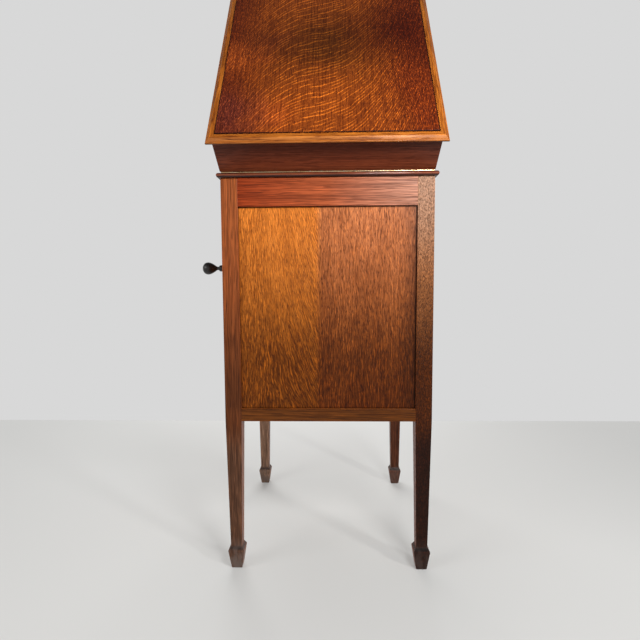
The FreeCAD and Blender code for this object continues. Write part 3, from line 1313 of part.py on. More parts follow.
def build_speed():
    level = governor_z
    shaft = 3.0
    run = math.hypot(float(dial[0] - lever_pivot[0]), float(dial[1] - lever_pivot[1]))
    way = bearing((float(lever_pivot[0]), float(lever_pivot[1])), (float(dial[0]), float(dial[1])))
    keep("speed_dial", turned(dial[0], dial[1], board_top, "Z", (
        (shaft + s.running_fit, 0), (s.dial_radius, 0), (s.dial_radius - 0.6, 1.2),
        (shaft + s.running_fit, 1.2))))
    foot = level - 2.5
    top = board_top + 1.5 - foot
    grip = turned(dial[0], dial[1], foot, "Z", (
        (0, 0), (shaft, 0), (shaft, top), (9.5, top), (9.5, top + 2), (8.0, top + 4), (8.0, top + 11),
        (6.8, top + 12.5), (0, top + 12.5)))
    cap = foot + top + 12
    pointer = block((dial[0] - 0.9, dial[0] + 0.9), (dial[1] - 6.4, dial[1] + 1), (cap, cap + 1.3))
    throw_x = math.cos(math.radians(way)) * s.eccentric_throw
    throw_y = math.sin(math.radians(way)) * s.eccentric_throw
    cam = rod(dial[0] + throw_x, dial[1] + throw_y, foot, "Z", s.eccentric_radius, 5.0)
    keep("speed_knob", join(grip, pointer, cam))

    slot = float(s.eccentric_radius) + 0.5
    prong = slot + 3.5
    mouth = run + float(s.eccentric_throw) + float(s.eccentric_radius) + 2
    root = run - float(s.eccentric_radius) - 1.4
    half = 4.0
    points = [(-half, -half), (root - 6, -half), (root - 4, -prong), (mouth, -prong), (mouth, -slot),
              (root, -slot), (root, slot), (mouth, slot), (mouth, prong), (root - 4, prong),
              (root - 6, half), (-half, half)]
    fork = Part.Face(Part.makePolygon([V(a, b, -1.5) for a, b in points + [points[0]]])).extrude(V(0, 0, 3))
    fork.rotate(V(0, 0, 0), V(0, 0, 1), way)
    disc_y = float(centre_y - s.governor_front) + 8
    pad_x = float(governor_x) - 10 - float(lever_pivot[0])
    pad_y = disc_y - 0.9 - float(lever_pivot[1])
    arm = Part.makeBox(math.hypot(pad_x, pad_y - 3), 6, 3, V(0, -3, -1.5))
    arm.rotate(V(0, 0, 0), V(0, 0, 1), math.degrees(math.atan2(pad_y - 3, pad_x)))
    pad = Part.makeBox(6, 3, 7, V(pad_x - 3, pad_y - 3, -3.5))
    bore = Part.makeCylinder(2.5 + float(s.running_fit), 8, V(0, 0, -4))
    solid = fork.fuse([arm, Part.makeCylinder(6, 3, V(0, 0, -1.5))]).cut([bore, pad]).removeSplitter()
    lever = formed(solid)
    put(lever, lever_pivot[0], lever_pivot[1], level)
    leather = formed(pad)
    put(leather, lever_pivot[0], lever_pivot[1], level)
    keep("speed_lever", lever, leather)
    seat = level - 1.8 - base_top
    lever_studs.append(turned(lever_pivot[0], lever_pivot[1], base_top, "Z", (
        (0, 0), (4.0, 0), (4.0, seat), (2.5, seat), (2.5, seat + 3.6), (4.0, seat + 3.6), (4.0, seat + 5),
        (0, seat + 5))))


def build_brake():
    low = 1.5
    lean = math.degrees(math.atan2(-0.436, -0.9))
    reach = float(s.brake_reach)
    bar = Part.makeBox(reach + 32, 8, 2.5, V(-32, -4, low))
    bar = bar.fuse([Part.makeCylinder(7, 2.5, V(0, 0, low)), Part.makeCylinder(4.5, 14, V(-30, 0, low))])
    bar = bar.cut(Part.makeCylinder(3 + float(s.running_fit), 8, V(0, 0, -1)))
    lever = formed(bar.removeSplitter())
    put(lever, brake_pivot[0], brake_pivot[1], board_top, V(0, 0, 1), lean)
    keep("brake_lever", lever)
    pad = formed(Part.makeBox(7, 14, 9, V(0, -7, low + 2.5)))
    put(pad, brake_pad[0], brake_pad[1], board_top, V(0, 0, 1), -s.brake_angle)
    keep("brake_pad", pad)
    stem = s.board_thick
    over = stem + low + 2.8
    lever_studs.append(turned(brake_pivot[0], brake_pivot[1], board_low, "Z", (
        (0, 0), (3.0, 0), (3.0, stem), (6.0, stem), (6.0, stem + 1.2), (3.0, stem + 1.2), (3.0, over),
        (5.0, over), (5.0, over + 1.2), (3.4, over + 2.6), (0, over + 2.6))))
    keep("lever_studs", *lever_studs)


arm_rise = (cloth_top + s.needle_rise + s.needle_reach * sine(s.needle_slant)
            + 2 * s.neck_radius * sine(s.neck_slope) - board_top)
box_u = s.arm_length - s.needle_reach * cosine(s.needle_slant)
mouth_u = box_u - 2 * s.neck_radius * cosine(s.neck_slope)
mouth_straight = 8.0


def on_arm(shape):
    # Pieces of the arm are drawn with the arm along +X from its pivot, then swung to its parked place.
    obj = formed(shape)
    return put(obj, 0.0, arm_y, board_top, V(0, 0, 1), s.arm_park - 90)


def build_tonearm():
    stem = s.stem_radius
    bore = stem + s.running_fit
    high = s.base_height
    keep("tonearm_base", turned(0.0, arm_y, board_top, "Z", (
        (stem - s.tube_wall, 0), (s.base_radius, 0), (s.base_radius, 3.0), (s.base_radius - 2, 5.0),
        (stem + 6.5, 5.0), (stem + 4.5, 8.0), (stem + 4.5, high - 1), (stem + 3.5, high), (bore, high),
        (bore, 2.5), (stem - s.tube_wall, 2.5))))
    for k in range(3):
        turn = math.radians(90 + 120 * k)
        reach = s.base_radius - 7
        head_x = reach * math.cos(turn)
        head_y = arm_y + reach * math.sin(turn)
        deck_screws.append(turned(head_x, head_y, board_top + 5, "Z", (
            (0, 0), (3.2, 0), (2.6, 1.2), (0, 1.6))))
    keep("deck_screws", *deck_screws)

    rise = float(arm_rise)
    bend = float(s.arm_bend)
    thick = float(s.arm_tube_back)
    thin = float(s.arm_tube_front)
    elbow = float(s.arm_elbow)
    wall = float(s.tube_wall)
    end_u = float(mouth_u)
    straight_u = end_u - elbow
    fold = math.sqrt(0.5)
    foot_low = 2.8
    foot_top = 22.0

    def run(cut):
        back = thick - cut
        front = thin - cut
        up = Part.makeLine(V(0, 0, 20), V(0, 0, rise - bend))
        over = Part.Arc(V(0, 0, rise - bend), V(bend - bend * fold, 0, rise - bend + bend * fold),
                        V(bend, 0, rise))
        taper = Part.makeCone(back, front, straight_u - bend, V(bend, 0, rise), V(1, 0, 0))
        turn = Part.Arc(V(straight_u, 0, rise), V(straight_u + elbow * fold, elbow * fold - elbow, rise),
                        V(end_u, -elbow, rise))
        more = 1 if cut else 0
        out = Part.makeLine(V(end_u, -elbow, rise), V(end_u, -elbow - mouth_straight - more, rise))
        tall = foot_top - foot_low + 2 * more
        foot = Part.makeCylinder(float(stem) - cut, tall, V(0, 0, foot_low - more))
        return foot.fuse([swept([up, over.toShape()], back), taper, swept([turn.toShape(), out], front)])

    ring = Part.makeCylinder(thin + 1.2, 4, V(end_u, -elbow - mouth_straight + 4, rise), V(0, -1, 0))
    keep("tonearm", on_arm(run(0.0).fuse(ring).cut(run(wall)).removeSplitter()))

    mouth_s = -elbow - mouth_straight
    radius = float(s.neck_radius)
    slope = math.radians(float(s.neck_slope))
    ahead = V(math.cos(slope), 0, -math.sin(slope))
    side = V(0, -1, 0)
    gap = 0.3
    start = V(end_u, mouth_s - gap, rise)
    turn_from = V(end_u, mouth_s - 4, rise)
    turn_to = turn_from + ahead * (2 * radius)
    end = turn_to - side * 8.5

    def neck(cut, more):
        legs = [Part.makeLine(start - side * more, turn_from),
                Part.Arc(turn_from, turn_from + ahead * radius + side * radius, turn_to).toShape(),
                Part.makeLine(turn_to, end - side * more)]
        return swept(legs, float(s.neck_tube) - cut)

    spigot = Part.makeCylinder(thin - wall - float(s.running_fit), 7.0, start - side * 7.0, side)
    collar = Part.makeCylinder(thin + 1.2, 3.0, start, side)
    hollow = Part.makeCylinder(float(s.neck_tube) - wall, 9.0, start - side * 8.0, side)
    tube = neck(0.0, 0.0).fuse([spigot, collar]).cut([neck(wall, 1.0), hollow])
    keep("gooseneck", on_arm(tube.removeSplitter()))

    centre = V(float(box_u), 0, turn_to.z)
    back_s = end.y
    rim = float(s.soundbox_radius)
    tail = float(s.neck_tube)

    def around(points):
        ring = [V(centre.x + r, back_s + d, centre.z) for r, d in points]
        face = Part.Face(Part.makePolygon(ring + [ring[0]]))
        return face.revolve(centre, V(0, 1, 0), 360)

    shell = around((
        (tail - wall, 0.5), (rim - 5, 0.5), (rim, 3.0), (rim, 13.0), (rim - 2, 13.0), (rim - 2, 8.9),
        (rim - 5, 8.9), (rim - 5, 4.5), (tail - wall, 3.5)))
    rubber = [around(((tail, -3.0), (tail + 4, -3.0), (tail + 4, 0.5), (tail, 0.5))),
              around(((rim - 5, 8.9), (rim - 2, 8.9), (rim - 2, 10.4), (rim - 5, 10.4))),
              around(((rim - 5, 10.9), (rim - 2, 10.9), (rim - 2, 12.4), (rim - 5, 12.4)))]
    keep("soundbox_rubber", on_arm(Part.makeCompound(rubber)))
    keep("diaphragm", on_arm(around(((0, 10.4), (rim - 2, 10.4), (rim - 2, 10.9), (0, 10.9)))))
    bezel = around((
        (rim - 5.5, 12.4), (rim - 2, 12.4), (rim - 2, 13.0), (rim, 13.0), (rim, 14.0), (rim - 1.2, 15.0),
        (rim - 5.5, 14.2)))
    keep("soundbox_case", on_arm(Part.makeCompound([shell, bezel])))

    slant = float(s.needle_slant)
    front = back_s + 15.4
    chuck = Part.makeBox(8, 6, 6, V(rim - 1, front - 4.4, -3)).cut(
        Part.makeCylinder(rim, 40, V(0, front - 20, 0), V(0, 1, 0)))
    bar = Part.makeBox(rim + 2, 1.6, 2.2, V(0, front, -1.1))
    post = Part.makeCylinder(1.1, front + 0.8 - back_s - 10.9, V(0, back_s + 10.9, 0), V(0, 1, 0))
    bore = Part.makeCylinder(0.8, 12, V(rim - 1, front - 1.4, 0), V(1, 0, 0))
    holder = chuck.fuse([bar, post]).cut(bore).removeSplitter()
    reach = float(s.needle_reach)
    needle = Part.makeCylinder(0.75, reach - 5 - rim - 1, V(rim + 1, front - 1.4, 0), V(1, 0, 0)).fuse(
        Part.makeCone(0.75, 0.08, 5, V(reach - 5, front - 1.4, 0), V(1, 0, 0)))
    screw = Part.makeCylinder(1.4, 5, V(rim + 4, front + 1.6, 0), V(0, 1, 0)).fuse(
        Part.makeCylinder(3.2, 4, V(rim + 4, front + 4, 0), V(0, 1, 0)))
    stylus = Part.makeCompound([holder, screw])
    for label, shape in (("stylus_bar", stylus), ("needle", needle.removeSplitter())):
        shape.translate(V(centre.x, 0, centre.z))
        shape.rotate(centre, V(0, 1, 0), slant)
        keep(label, on_arm(shape))

    at = float(s.rest_reach)
    radius = thick + (thin - thick) * (at - bend) / (straight_u - bend)
    shelf = rise - radius - 0.4
    parts = [Part.makeCylinder(9, 2, V(at, 0, 0)), Part.makeCylinder(4, shelf - 3, V(at, 0, 0)),
             Part.makeBox(12, 24, 4, V(at - 6, -9, shelf - 4)),
             Part.makeBox(12, 3, 18, V(at - 6, radius + 0.9, shelf - 4))]
    keep("arm_rest", on_arm(parts[0].fuse(parts[1:]).removeSplitter()))


def finish():
    doc.recompute()
    faults = []
    for obj in doc.Objects:
        if "Invalid" in obj.State or "Error" in obj.State:
            faults.append(f"{obj.Name} {obj.Label} {obj.State}")
    for obj in nodes:
        if obj.Shape.isNull() or not obj.Shape.isValid() or not obj.Shape.Solids:
            faults.append(f"{obj.Label} has no sound solid")
    if faults:
        raise RuntimeError("; ".join(faults))
    os.makedirs("parts", exist_ok=True)
    for obj in nodes:
        obj.Shape.exportStep(f"parts/{obj.Label}.step")
    print(f"{len(nodes)} pieces written")


build_case()
build_rim()
build_lid()
build_lid_hinge()
build_lid_stay()
build_doors()
build_horn()
build_board()
build_motor()
build_winding()
build_governor()
build_platter()
build_speed()
build_brake()
build_tonearm()
finish()
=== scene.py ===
import json
import math
import random
from functools import partial

import bmesh
import bpy
from mathutils import Matrix, Vector


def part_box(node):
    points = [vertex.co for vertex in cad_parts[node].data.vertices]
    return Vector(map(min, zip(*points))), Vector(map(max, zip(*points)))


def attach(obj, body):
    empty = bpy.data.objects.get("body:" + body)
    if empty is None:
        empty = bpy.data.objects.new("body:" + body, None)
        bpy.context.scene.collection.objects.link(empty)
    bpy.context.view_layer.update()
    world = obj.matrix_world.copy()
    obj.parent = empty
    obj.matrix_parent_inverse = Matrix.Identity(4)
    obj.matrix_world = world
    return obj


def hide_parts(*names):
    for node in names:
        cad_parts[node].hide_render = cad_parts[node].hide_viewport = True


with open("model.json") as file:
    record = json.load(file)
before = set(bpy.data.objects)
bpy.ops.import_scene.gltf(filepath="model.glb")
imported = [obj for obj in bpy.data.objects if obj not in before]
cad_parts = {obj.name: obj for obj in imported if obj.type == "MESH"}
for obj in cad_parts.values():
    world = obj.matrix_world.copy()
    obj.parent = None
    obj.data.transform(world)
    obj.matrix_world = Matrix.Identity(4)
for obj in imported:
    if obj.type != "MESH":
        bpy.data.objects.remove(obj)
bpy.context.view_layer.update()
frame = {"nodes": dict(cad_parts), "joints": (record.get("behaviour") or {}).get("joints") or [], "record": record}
scene = bpy.context.scene
mm = 0.001
rng = random.Random(11)
bodyOf = {node: body for body, group in frame["record"]["behaviour"]["bodies"].items() for node in group}
jointOf = {joint["child"]: joint for joint in frame["joints"]}
print("frame loaded,", len(frame["nodes"]), "nodes")


def srgb(text):
    parts = [int(text[k:k + 2], 16) / 255 for k in (1, 3, 5)]
    linear = [c / 12.92 if c <= 0.04045 else ((c + 0.055) / 1.055) ** 2.4 for c in parts]
    return (*linear, 1.0)


# Fills a node's inputs. A node among the values stands for its first output in use.
def feed(node, values):
    for key, value in values.items():
        if isinstance(value, bpy.types.Node):
            value = next(socket for socket in value.outputs if socket.enabled)
        if isinstance(value, bpy.types.NodeSocket):
            node.id_data.links.new(value, node.inputs[key])
        else:
            node.inputs[key].default_value = value


def addNode(tree, kind, values=None, **settings):
    node = tree.nodes.new(kind)
    for name, value in settings.items():
        setattr(node, name, value)
    feed(node, values or {})
    return node


# The second value is addNode for this material's own tree.
def newMaterial(name):
    material = bpy.data.materials.new(name)
    material.use_nodes = True
    tree = material.node_tree
    return material, partial(addNode, tree), tree.nodes["Principled BSDF"]


# Noise drawn out along the grain: its length and width are millimetres.
def grainNoise(add, grain, size):
    rate = (1 / size[0], 1 / size[1], 1 / size[1])
    scaled = add("ShaderNodeVectorMath", {0: grain, 1: rate}, operation="MULTIPLY")
    return add("ShaderNodeTexNoise", {"Vector": scaled, "Scale": 1.0, "Detail": 1.0})


# Marks along the grain, and where in the noise they start and are full.
def streaks(add, grain, size, edge):
    noise = grainNoise(add, grain, size)
    return add("ShaderNodeMapRange", {"Value": noise, "From Min": edge[0], "From Max": edge[1]},
               interpolation_type="SMOOTHSTEP")


# Colours laid one over another, each by its share: a hex colour covers, a tint multiplies.
def layered(add, colour, layers):
    for share, tone in layers:
        covers = isinstance(tone, str)
        colour = add("ShaderNodeMix", {0: share, 6: colour, 7: srgb(tone) if covers else (*tone, 1.0)},
                     data_type="RGBA", blend_type="MIX" if covers else "MULTIPLY")
    return colour


# French polish: a thin film with a soft shine, duller in the open pores.
def polish(add, shader, look, colour, pores, height):
    rough = add("ShaderNodeMapRange", {"Value": pores, "To Min": look["gloss"], "To Max": look["poreRough"]})
    bump = add("ShaderNodeBump", {"Height": height, "Strength": look["relief"],
                                  "Distance": look["depth"] * mm})
    feed(shader, {"Base Color": colour, "Roughness": rough, "Normal": bump, "Coat Weight": look["coat"],
                  "Coat Roughness": look["coatRough"], "Specular IOR Level": look["specular"]})


# One board's grain leans more and more towards the seam.
def leanGrain(add, grain, axes, lean):
    near = add("ShaderNodeMapRange", {"Value": axes["X"], "From Min": lean["start"], "From Max": lean["seam"],
                                      "To Max": lean["slope"] / mm}, interpolation_type="SMOOTHSTEP")
    own = add("ShaderNodeMath", {0: axes["X"], 1: lean["seam"]}, operation="GREATER_THAN")
    down = add("ShaderNodeMath", {0: lean["level"], 1: axes["Z"]}, operation="SUBTRACT")
    share = add("ShaderNodeMath", {0: near, 1: own}, operation="MULTIPLY")
    tilt = add("ShaderNodeMath", {0: share, 1: down}, operation="MULTIPLY")
    aside = add("ShaderNodeCombineXYZ", {1: tilt})
    return add("ShaderNodeVectorMath", {0: grain, 1: aside}, operation="ADD")


# Oak, planed, stained and french polished: dark open pores and paler rays lie along the grain under a thin
# glossy film, and the arrises are rubbed. Each board brings its own grain, stain and wear as attributes.
def oakMaterial(name, look):
    material, add, shader = newMaterial(name)
    grain = add("ShaderNodeAttribute", attribute_name="grain").outputs["Vector"]
    stain = add("ShaderNodeAttribute", attribute_name="stain").outputs["Color"]
    wearAndShade = add("ShaderNodeAttribute", attribute_name="wearAndShade").outputs["Fac"]
    place = add("ShaderNodeTexCoord").outputs
    axes = dict(add("ShaderNodeSeparateXYZ", {0: place["Object"]}).outputs.items())
    facing = add("ShaderNodeSeparateXYZ", {0: place["Normal"]}).outputs
    axes.update(back=facing["Y"], up=facing["Z"])
    drift = grainNoise(add, grain, look["swaySize"]).outputs["Color"]
    bent = add("ShaderNodeVectorMath", {0: drift, 1: (0.0, look["sway"], look["sway"]), 2: grain},
               operation="MULTIPLY_ADD")
    if "lean" in look:
        bent = leanGrain(add, bent, axes, look["lean"])

    shares, layers = {}, []
    for mark, how in look["marks"].items():
        share = shares[mark] = streaks(add, bent, how["size"], how["edge"])
        if "below" in how:
            low = add("ShaderNodeMapRange", {"Value": axes["Z"], "From Min": how["below"][0],
                                             "From Max": how["below"][1]})
            share = add("ShaderNodeMath", {0: share, 1: low}, operation="MULTIPLY")
        layers.append((share, how["tint"]))

    # A ramp runs along an axis or with the facing: most paint shade, sheen or highlight, a few a board's own tone.
    # Faces that don't look back may take only a share of it.
    for ramp in look["shadeAndToneRamps"]:
        share = add("ShaderNodeMapRange", {"Value": axes[ramp["axis"]], "From Min": ramp["start"],
                                           "From Max": ramp["end"]}, interpolation_type="SMOOTHSTEP")
        sides = add("ShaderNodeMapRange", {"Value": axes["back"], "From Min": look["turn"][0],
                                           "From Max": look["turn"][1], "To Min": ramp.get("sides", 1.0)})
        amount = add("ShaderNodeMath", {0: share, 1: sides}, operation="MULTIPLY")
        layers.append((amount, ramp["tint"]))

    # Painted shade: narrow dark lines along corners and steps, where shade falls.
    for line in look["shadeLines"]:
        off = add("ShaderNodeMath", {0: axes[line["axis"]], 1: line["at"]}, operation="SUBTRACT")
        gap = add("ShaderNodeMath", {0: off}, operation="ABSOLUTE")
        share = add("ShaderNodeMapRange", {"Value": gap, "From Min": line["width"], "From Max": 0.0},
                    interpolation_type="SMOOTHSTEP")
        layers.append((share, line["tint"]))

    # Feet and the lowest part of the legs are scuffed grey-brown, and arrises are rubbed paler in places.
    low = add("ShaderNodeMapRange", {"Value": axes["Z"], "From Min": look["scuffZone"][0],
                                     "From Max": look["scuffZone"][1],
                                     "To Min": look["scuff"], "To Max": 0.0})
    patchy = streaks(add, grain, look["scuffSize"], look["scuffEdge"])
    scuffed = add("ShaderNodeMath", {0: low, 1: patchy}, operation="MULTIPLY")
    uneven = streaks(add, grain, look["rubSize"], look["rubEdge"])
    rubbed = add("ShaderNodeMath", {0: wearAndShade, 1: uneven}, operation="MULTIPLY")
    layers += [(scuffed, look["scuffColour"]), (rubbed, look["edge"])]

    ridged = add("ShaderNodeMath", {0: shares["lines"], 1: -look["lineDepth"], 2: 1.0},
                 operation="MULTIPLY_ADD")
    pitted = add("ShaderNodeMath", {0: ridged, 1: shares["pores"]}, operation="SUBTRACT")
    polish(add, shader, look, layered(add, stain, layers), shares["pores"], pitted)
    return material


# Sizes of marks are millimetres along and across the grain, and places are metres. Real pores and growth
# lines are under a millimetre wide: they are drawn about 2 mm wide, as coarse as they need to be to show.
frameOak = dict(
    swaySize=(170, 60), sway=3.0,
    marks={
        "bands": dict(size=(360, 13), edge=(0.36, 0.64), tint=(0.74, 0.72, 0.70)),
        "lines": dict(size=(120, 2.0), edge=(0.44, 0.60), tint=(0.62, 0.58, 0.56)),
        "flecks": dict(size=(48, 1.6), edge=(0.56, 0.68), tint=(1.4, 1.36, 1.3)),
        "pores": dict(size=(42, 1.4), edge=(0.54, 0.66), tint=(0.52, 0.49, 0.49)),
        "wisps": dict(size=(40, 3.0), edge=(0.50, 0.64), tint=(1.5, 1.5, 1.5), below=(0.36, 0.26)),
    },
    # Painted shade: the frame darkens downwards, and a dark line is painted where the leg meets the foot's collar.
    shadeAndToneRamps=[dict(axis="Z", start=0.60, end=0.30, tint=(0.72, 0.78, 0.86))], turn=(0.2, 0.8),
    shadeLines=[dict(axis="Z", at=0.046, width=0.006, tint=(0.14, 0.13, 0.16))],
    scuff=0.8, scuffZone=(0.012, 0.07), scuffSize=(24, 10), scuffEdge=(0.22, 0.62), scuffColour="#6e5f58",
    edge=(1.4, 1.3, 1.2), rubSize=(60, 30), rubEdge=(0.4, 0.6),
    gloss=0.34, poreRough=0.62, relief=0.4, lineDepth=0.4, depth=0.25,
    coat=0.04, coatRough=0.3, specular=0.11)
# One front leg is paler and greyer towards the floor, a painted sheen of the pale wall, and the other is darker
# there, a painted shade.
sheenedLegOak = dict(frameOak, shadeAndToneRamps=[dict(axis="Z", start=0.34, end=0.24, tint=(1.35, 2.9, 5.6), sides=0.12)])
shadedOak = dict(
    frameOak, scuff=0.4,
    shadeAndToneRamps=[dict(axis="Z", start=0.40, end=0.26, tint=(0.34, 0.37, 0.46), sides=0.5)])
# Painted shade: the back of the frame darkens downwards, and it is greyer under the case.
backOak = dict(
    frameOak,
    shadeAndToneRamps=[dict(axis="Z", start=0.68, end=0.36, tint=(0.32, 0.35, 0.40), sides=0.35),
           dict(axis="Z", start=0.318, end=0.24, tint=(1.05, 1.6, 2.8), sides=0.35)])
# A post cut on the quarter: short flecks in place of lines. Its top is paler and pinker, a painted sheen, and it
# is much darker downwards, a painted shade.
speckledOak = dict(
    frameOak,
    marks={
        "bands": dict(size=(120, 22), edge=(0.36, 0.64), tint=(0.86, 0.85, 0.84)),
        "lines": dict(size=(4, 2.0), edge=(0.46, 0.58), tint=(0.66, 0.63, 0.60)),
        "flecks": dict(size=(3.6, 1.8), edge=(0.52, 0.62), tint=(1.4, 1.38, 1.36)),
        "pores": dict(size=(5, 1.5), edge=(0.52, 0.62), tint=(0.54, 0.50, 0.48)),
        "wisps": dict(size=(9, 2.6), edge=(0.50, 0.62), tint=(1.6, 1.55, 1.5), below=(0.56, 0.42)),
    },
    shadeAndToneRamps=[dict(axis="back", start=0.8, end=0.3, tint=(0.72, 0.42, 0.28)),
           dict(axis="Z", start=0.75, end=0.58, tint=(1.15, 0.85, 0.5), sides=0.3),
           dict(axis="Z", start=0.78, end=0.41, tint=(0.135, 0.085, 0.036), sides=0.3),
           dict(axis="Z", start=0.34, end=0.26, tint=(0.35, 0.38, 1.0), sides=0.3)],
    scuff=0.22)
# Panels have shorter, swaying marks, and are darker downwards, a painted shade.
panelOak = dict(
    frameOak, swaySize=(60, 40), sway=12.0,
    marks={
        "bands": dict(size=(260, 32), edge=(0.36, 0.64), tint=(0.84, 0.81, 0.77)),
        "lines": dict(size=(32, 2.2), edge=(0.45, 0.60), tint=(0.64, 0.58, 0.52)),
        "flecks": dict(size=(12, 1.8), edge=(0.53, 0.64), tint=(1.42, 1.40, 1.25)),
        "pores": dict(size=(10, 1.6), edge=(0.53, 0.64), tint=(0.50, 0.44, 0.38)),
        "wisps": dict(size=(24, 1.7), edge=(0.52, 0.61), tint=(2.1, 2.1, 1.8), below=(0.62, 0.44)),
    },
    shadeAndToneRamps=[dict(axis="Z", start=0.74, end=0.42, tint=(0.75, 0.70, 0.66))], shadeLines=[])
# The back panel is darker downwards and towards its edge at -X, a painted shade, with painted shadow lines where
# the frame meets it, darkest along the top and the -X side.
backPanelOak = dict(
    panelOak, sway=8.0, lean=dict(start=0.15, seam=0.019, slope=0.32, level=0.50),
    shadeAndToneRamps=[dict(axis="Z", start=0.75, end=0.42, tint=(0.215, 0.19, 0.13)),
           dict(axis="X", start=0.027, end=0.010, tint=(0.72, 0.68, 1.5)),       # the second board is redder
           dict(axis="X", start=-0.135, end=-0.180, tint=(0.55, 0.55, 0.60))],
    shadeLines=[dict(axis="Z", at=0.750, width=0.0045, tint=(0.10, 0.09, 0.09)),
           dict(axis="X", at=-0.177, width=0.0045, tint=(0.10, 0.10, 0.11)),
           dict(axis="Z", at=0.344, width=0.003, tint=(0.45, 0.45, 0.5)),
           dict(axis="X", at=0.177, width=0.003, tint=(0.6, 0.6, 0.65))])
# The lid's boards and the motor board have a weaker figure, and are darker above 0.85 m than below 0.82 m: a
# painted shade under the lid's moulding.
lidOak = dict(
    frameOak,
    marks={
        "bands": dict(size=(360, 13), edge=(0.36, 0.64), tint=(0.86, 0.84, 0.83)),
        "lines": dict(size=(120, 2.2), edge=(0.44, 0.60), tint=(0.74, 0.71, 0.70)),
        "flecks": dict(size=(30, 2.2), edge=(0.56, 0.68), tint=(1.25, 1.22, 1.2)),
        "pores": dict(size=(26, 1.5), edge=(0.54, 0.66), tint=(0.66, 0.63, 0.62)),
    },
    shadeAndToneRamps=[dict(axis="Z", start=0.85, end=0.82, tint=(1.75, 1.5, 1.05))], shadeLines=[], scuff=0.0)
# The rim's bead is the glossiest wood. Painted shade darkens it below and on top, which leaves a painted highlight
# along its middle.
rimOak = dict(
    frameOak,
    shadeAndToneRamps=[dict(axis="up", start=-0.1, end=-0.6, tint=(0.16, 0.14, 0.14)),
           dict(axis="up", start=0.2, end=0.7, tint=(0.5, 0.46, 0.48))],
    shadeLines=[], gloss=0.22, coat=0.5, coatRough=0.16, scuff=0.0)
# The lid's moulding is golden, with a painted highlight on its edge and painted shade underneath.
mouldingOak = dict(
    rimOak,
    marks={
        "bands": dict(size=(160, 9), edge=(0.38, 0.62), tint=(0.76, 0.70, 0.62)),
        "lines": dict(size=(70, 2.6), edge=(0.46, 0.62), tint=(0.60, 0.52, 0.44)),
        "flecks": dict(size=(30, 2.2), edge=(0.55, 0.67), tint=(1.3, 1.28, 1.15)),
        "pores": dict(size=(22, 1.6), edge=(0.56, 0.67), tint=(0.55, 0.46, 0.40)),
    },
    shadeAndToneRamps=[dict(axis="up", start=0.4, end=-0.1, tint=(1.05, 1.2, 2.4)),
           dict(axis="up", start=-0.5, end=-0.8, tint=(0.3, 0.25, 0.2))],
    gloss=0.36, coat=0.06, coatRough=0.3, edge=(1.2, 1.15, 1.1))


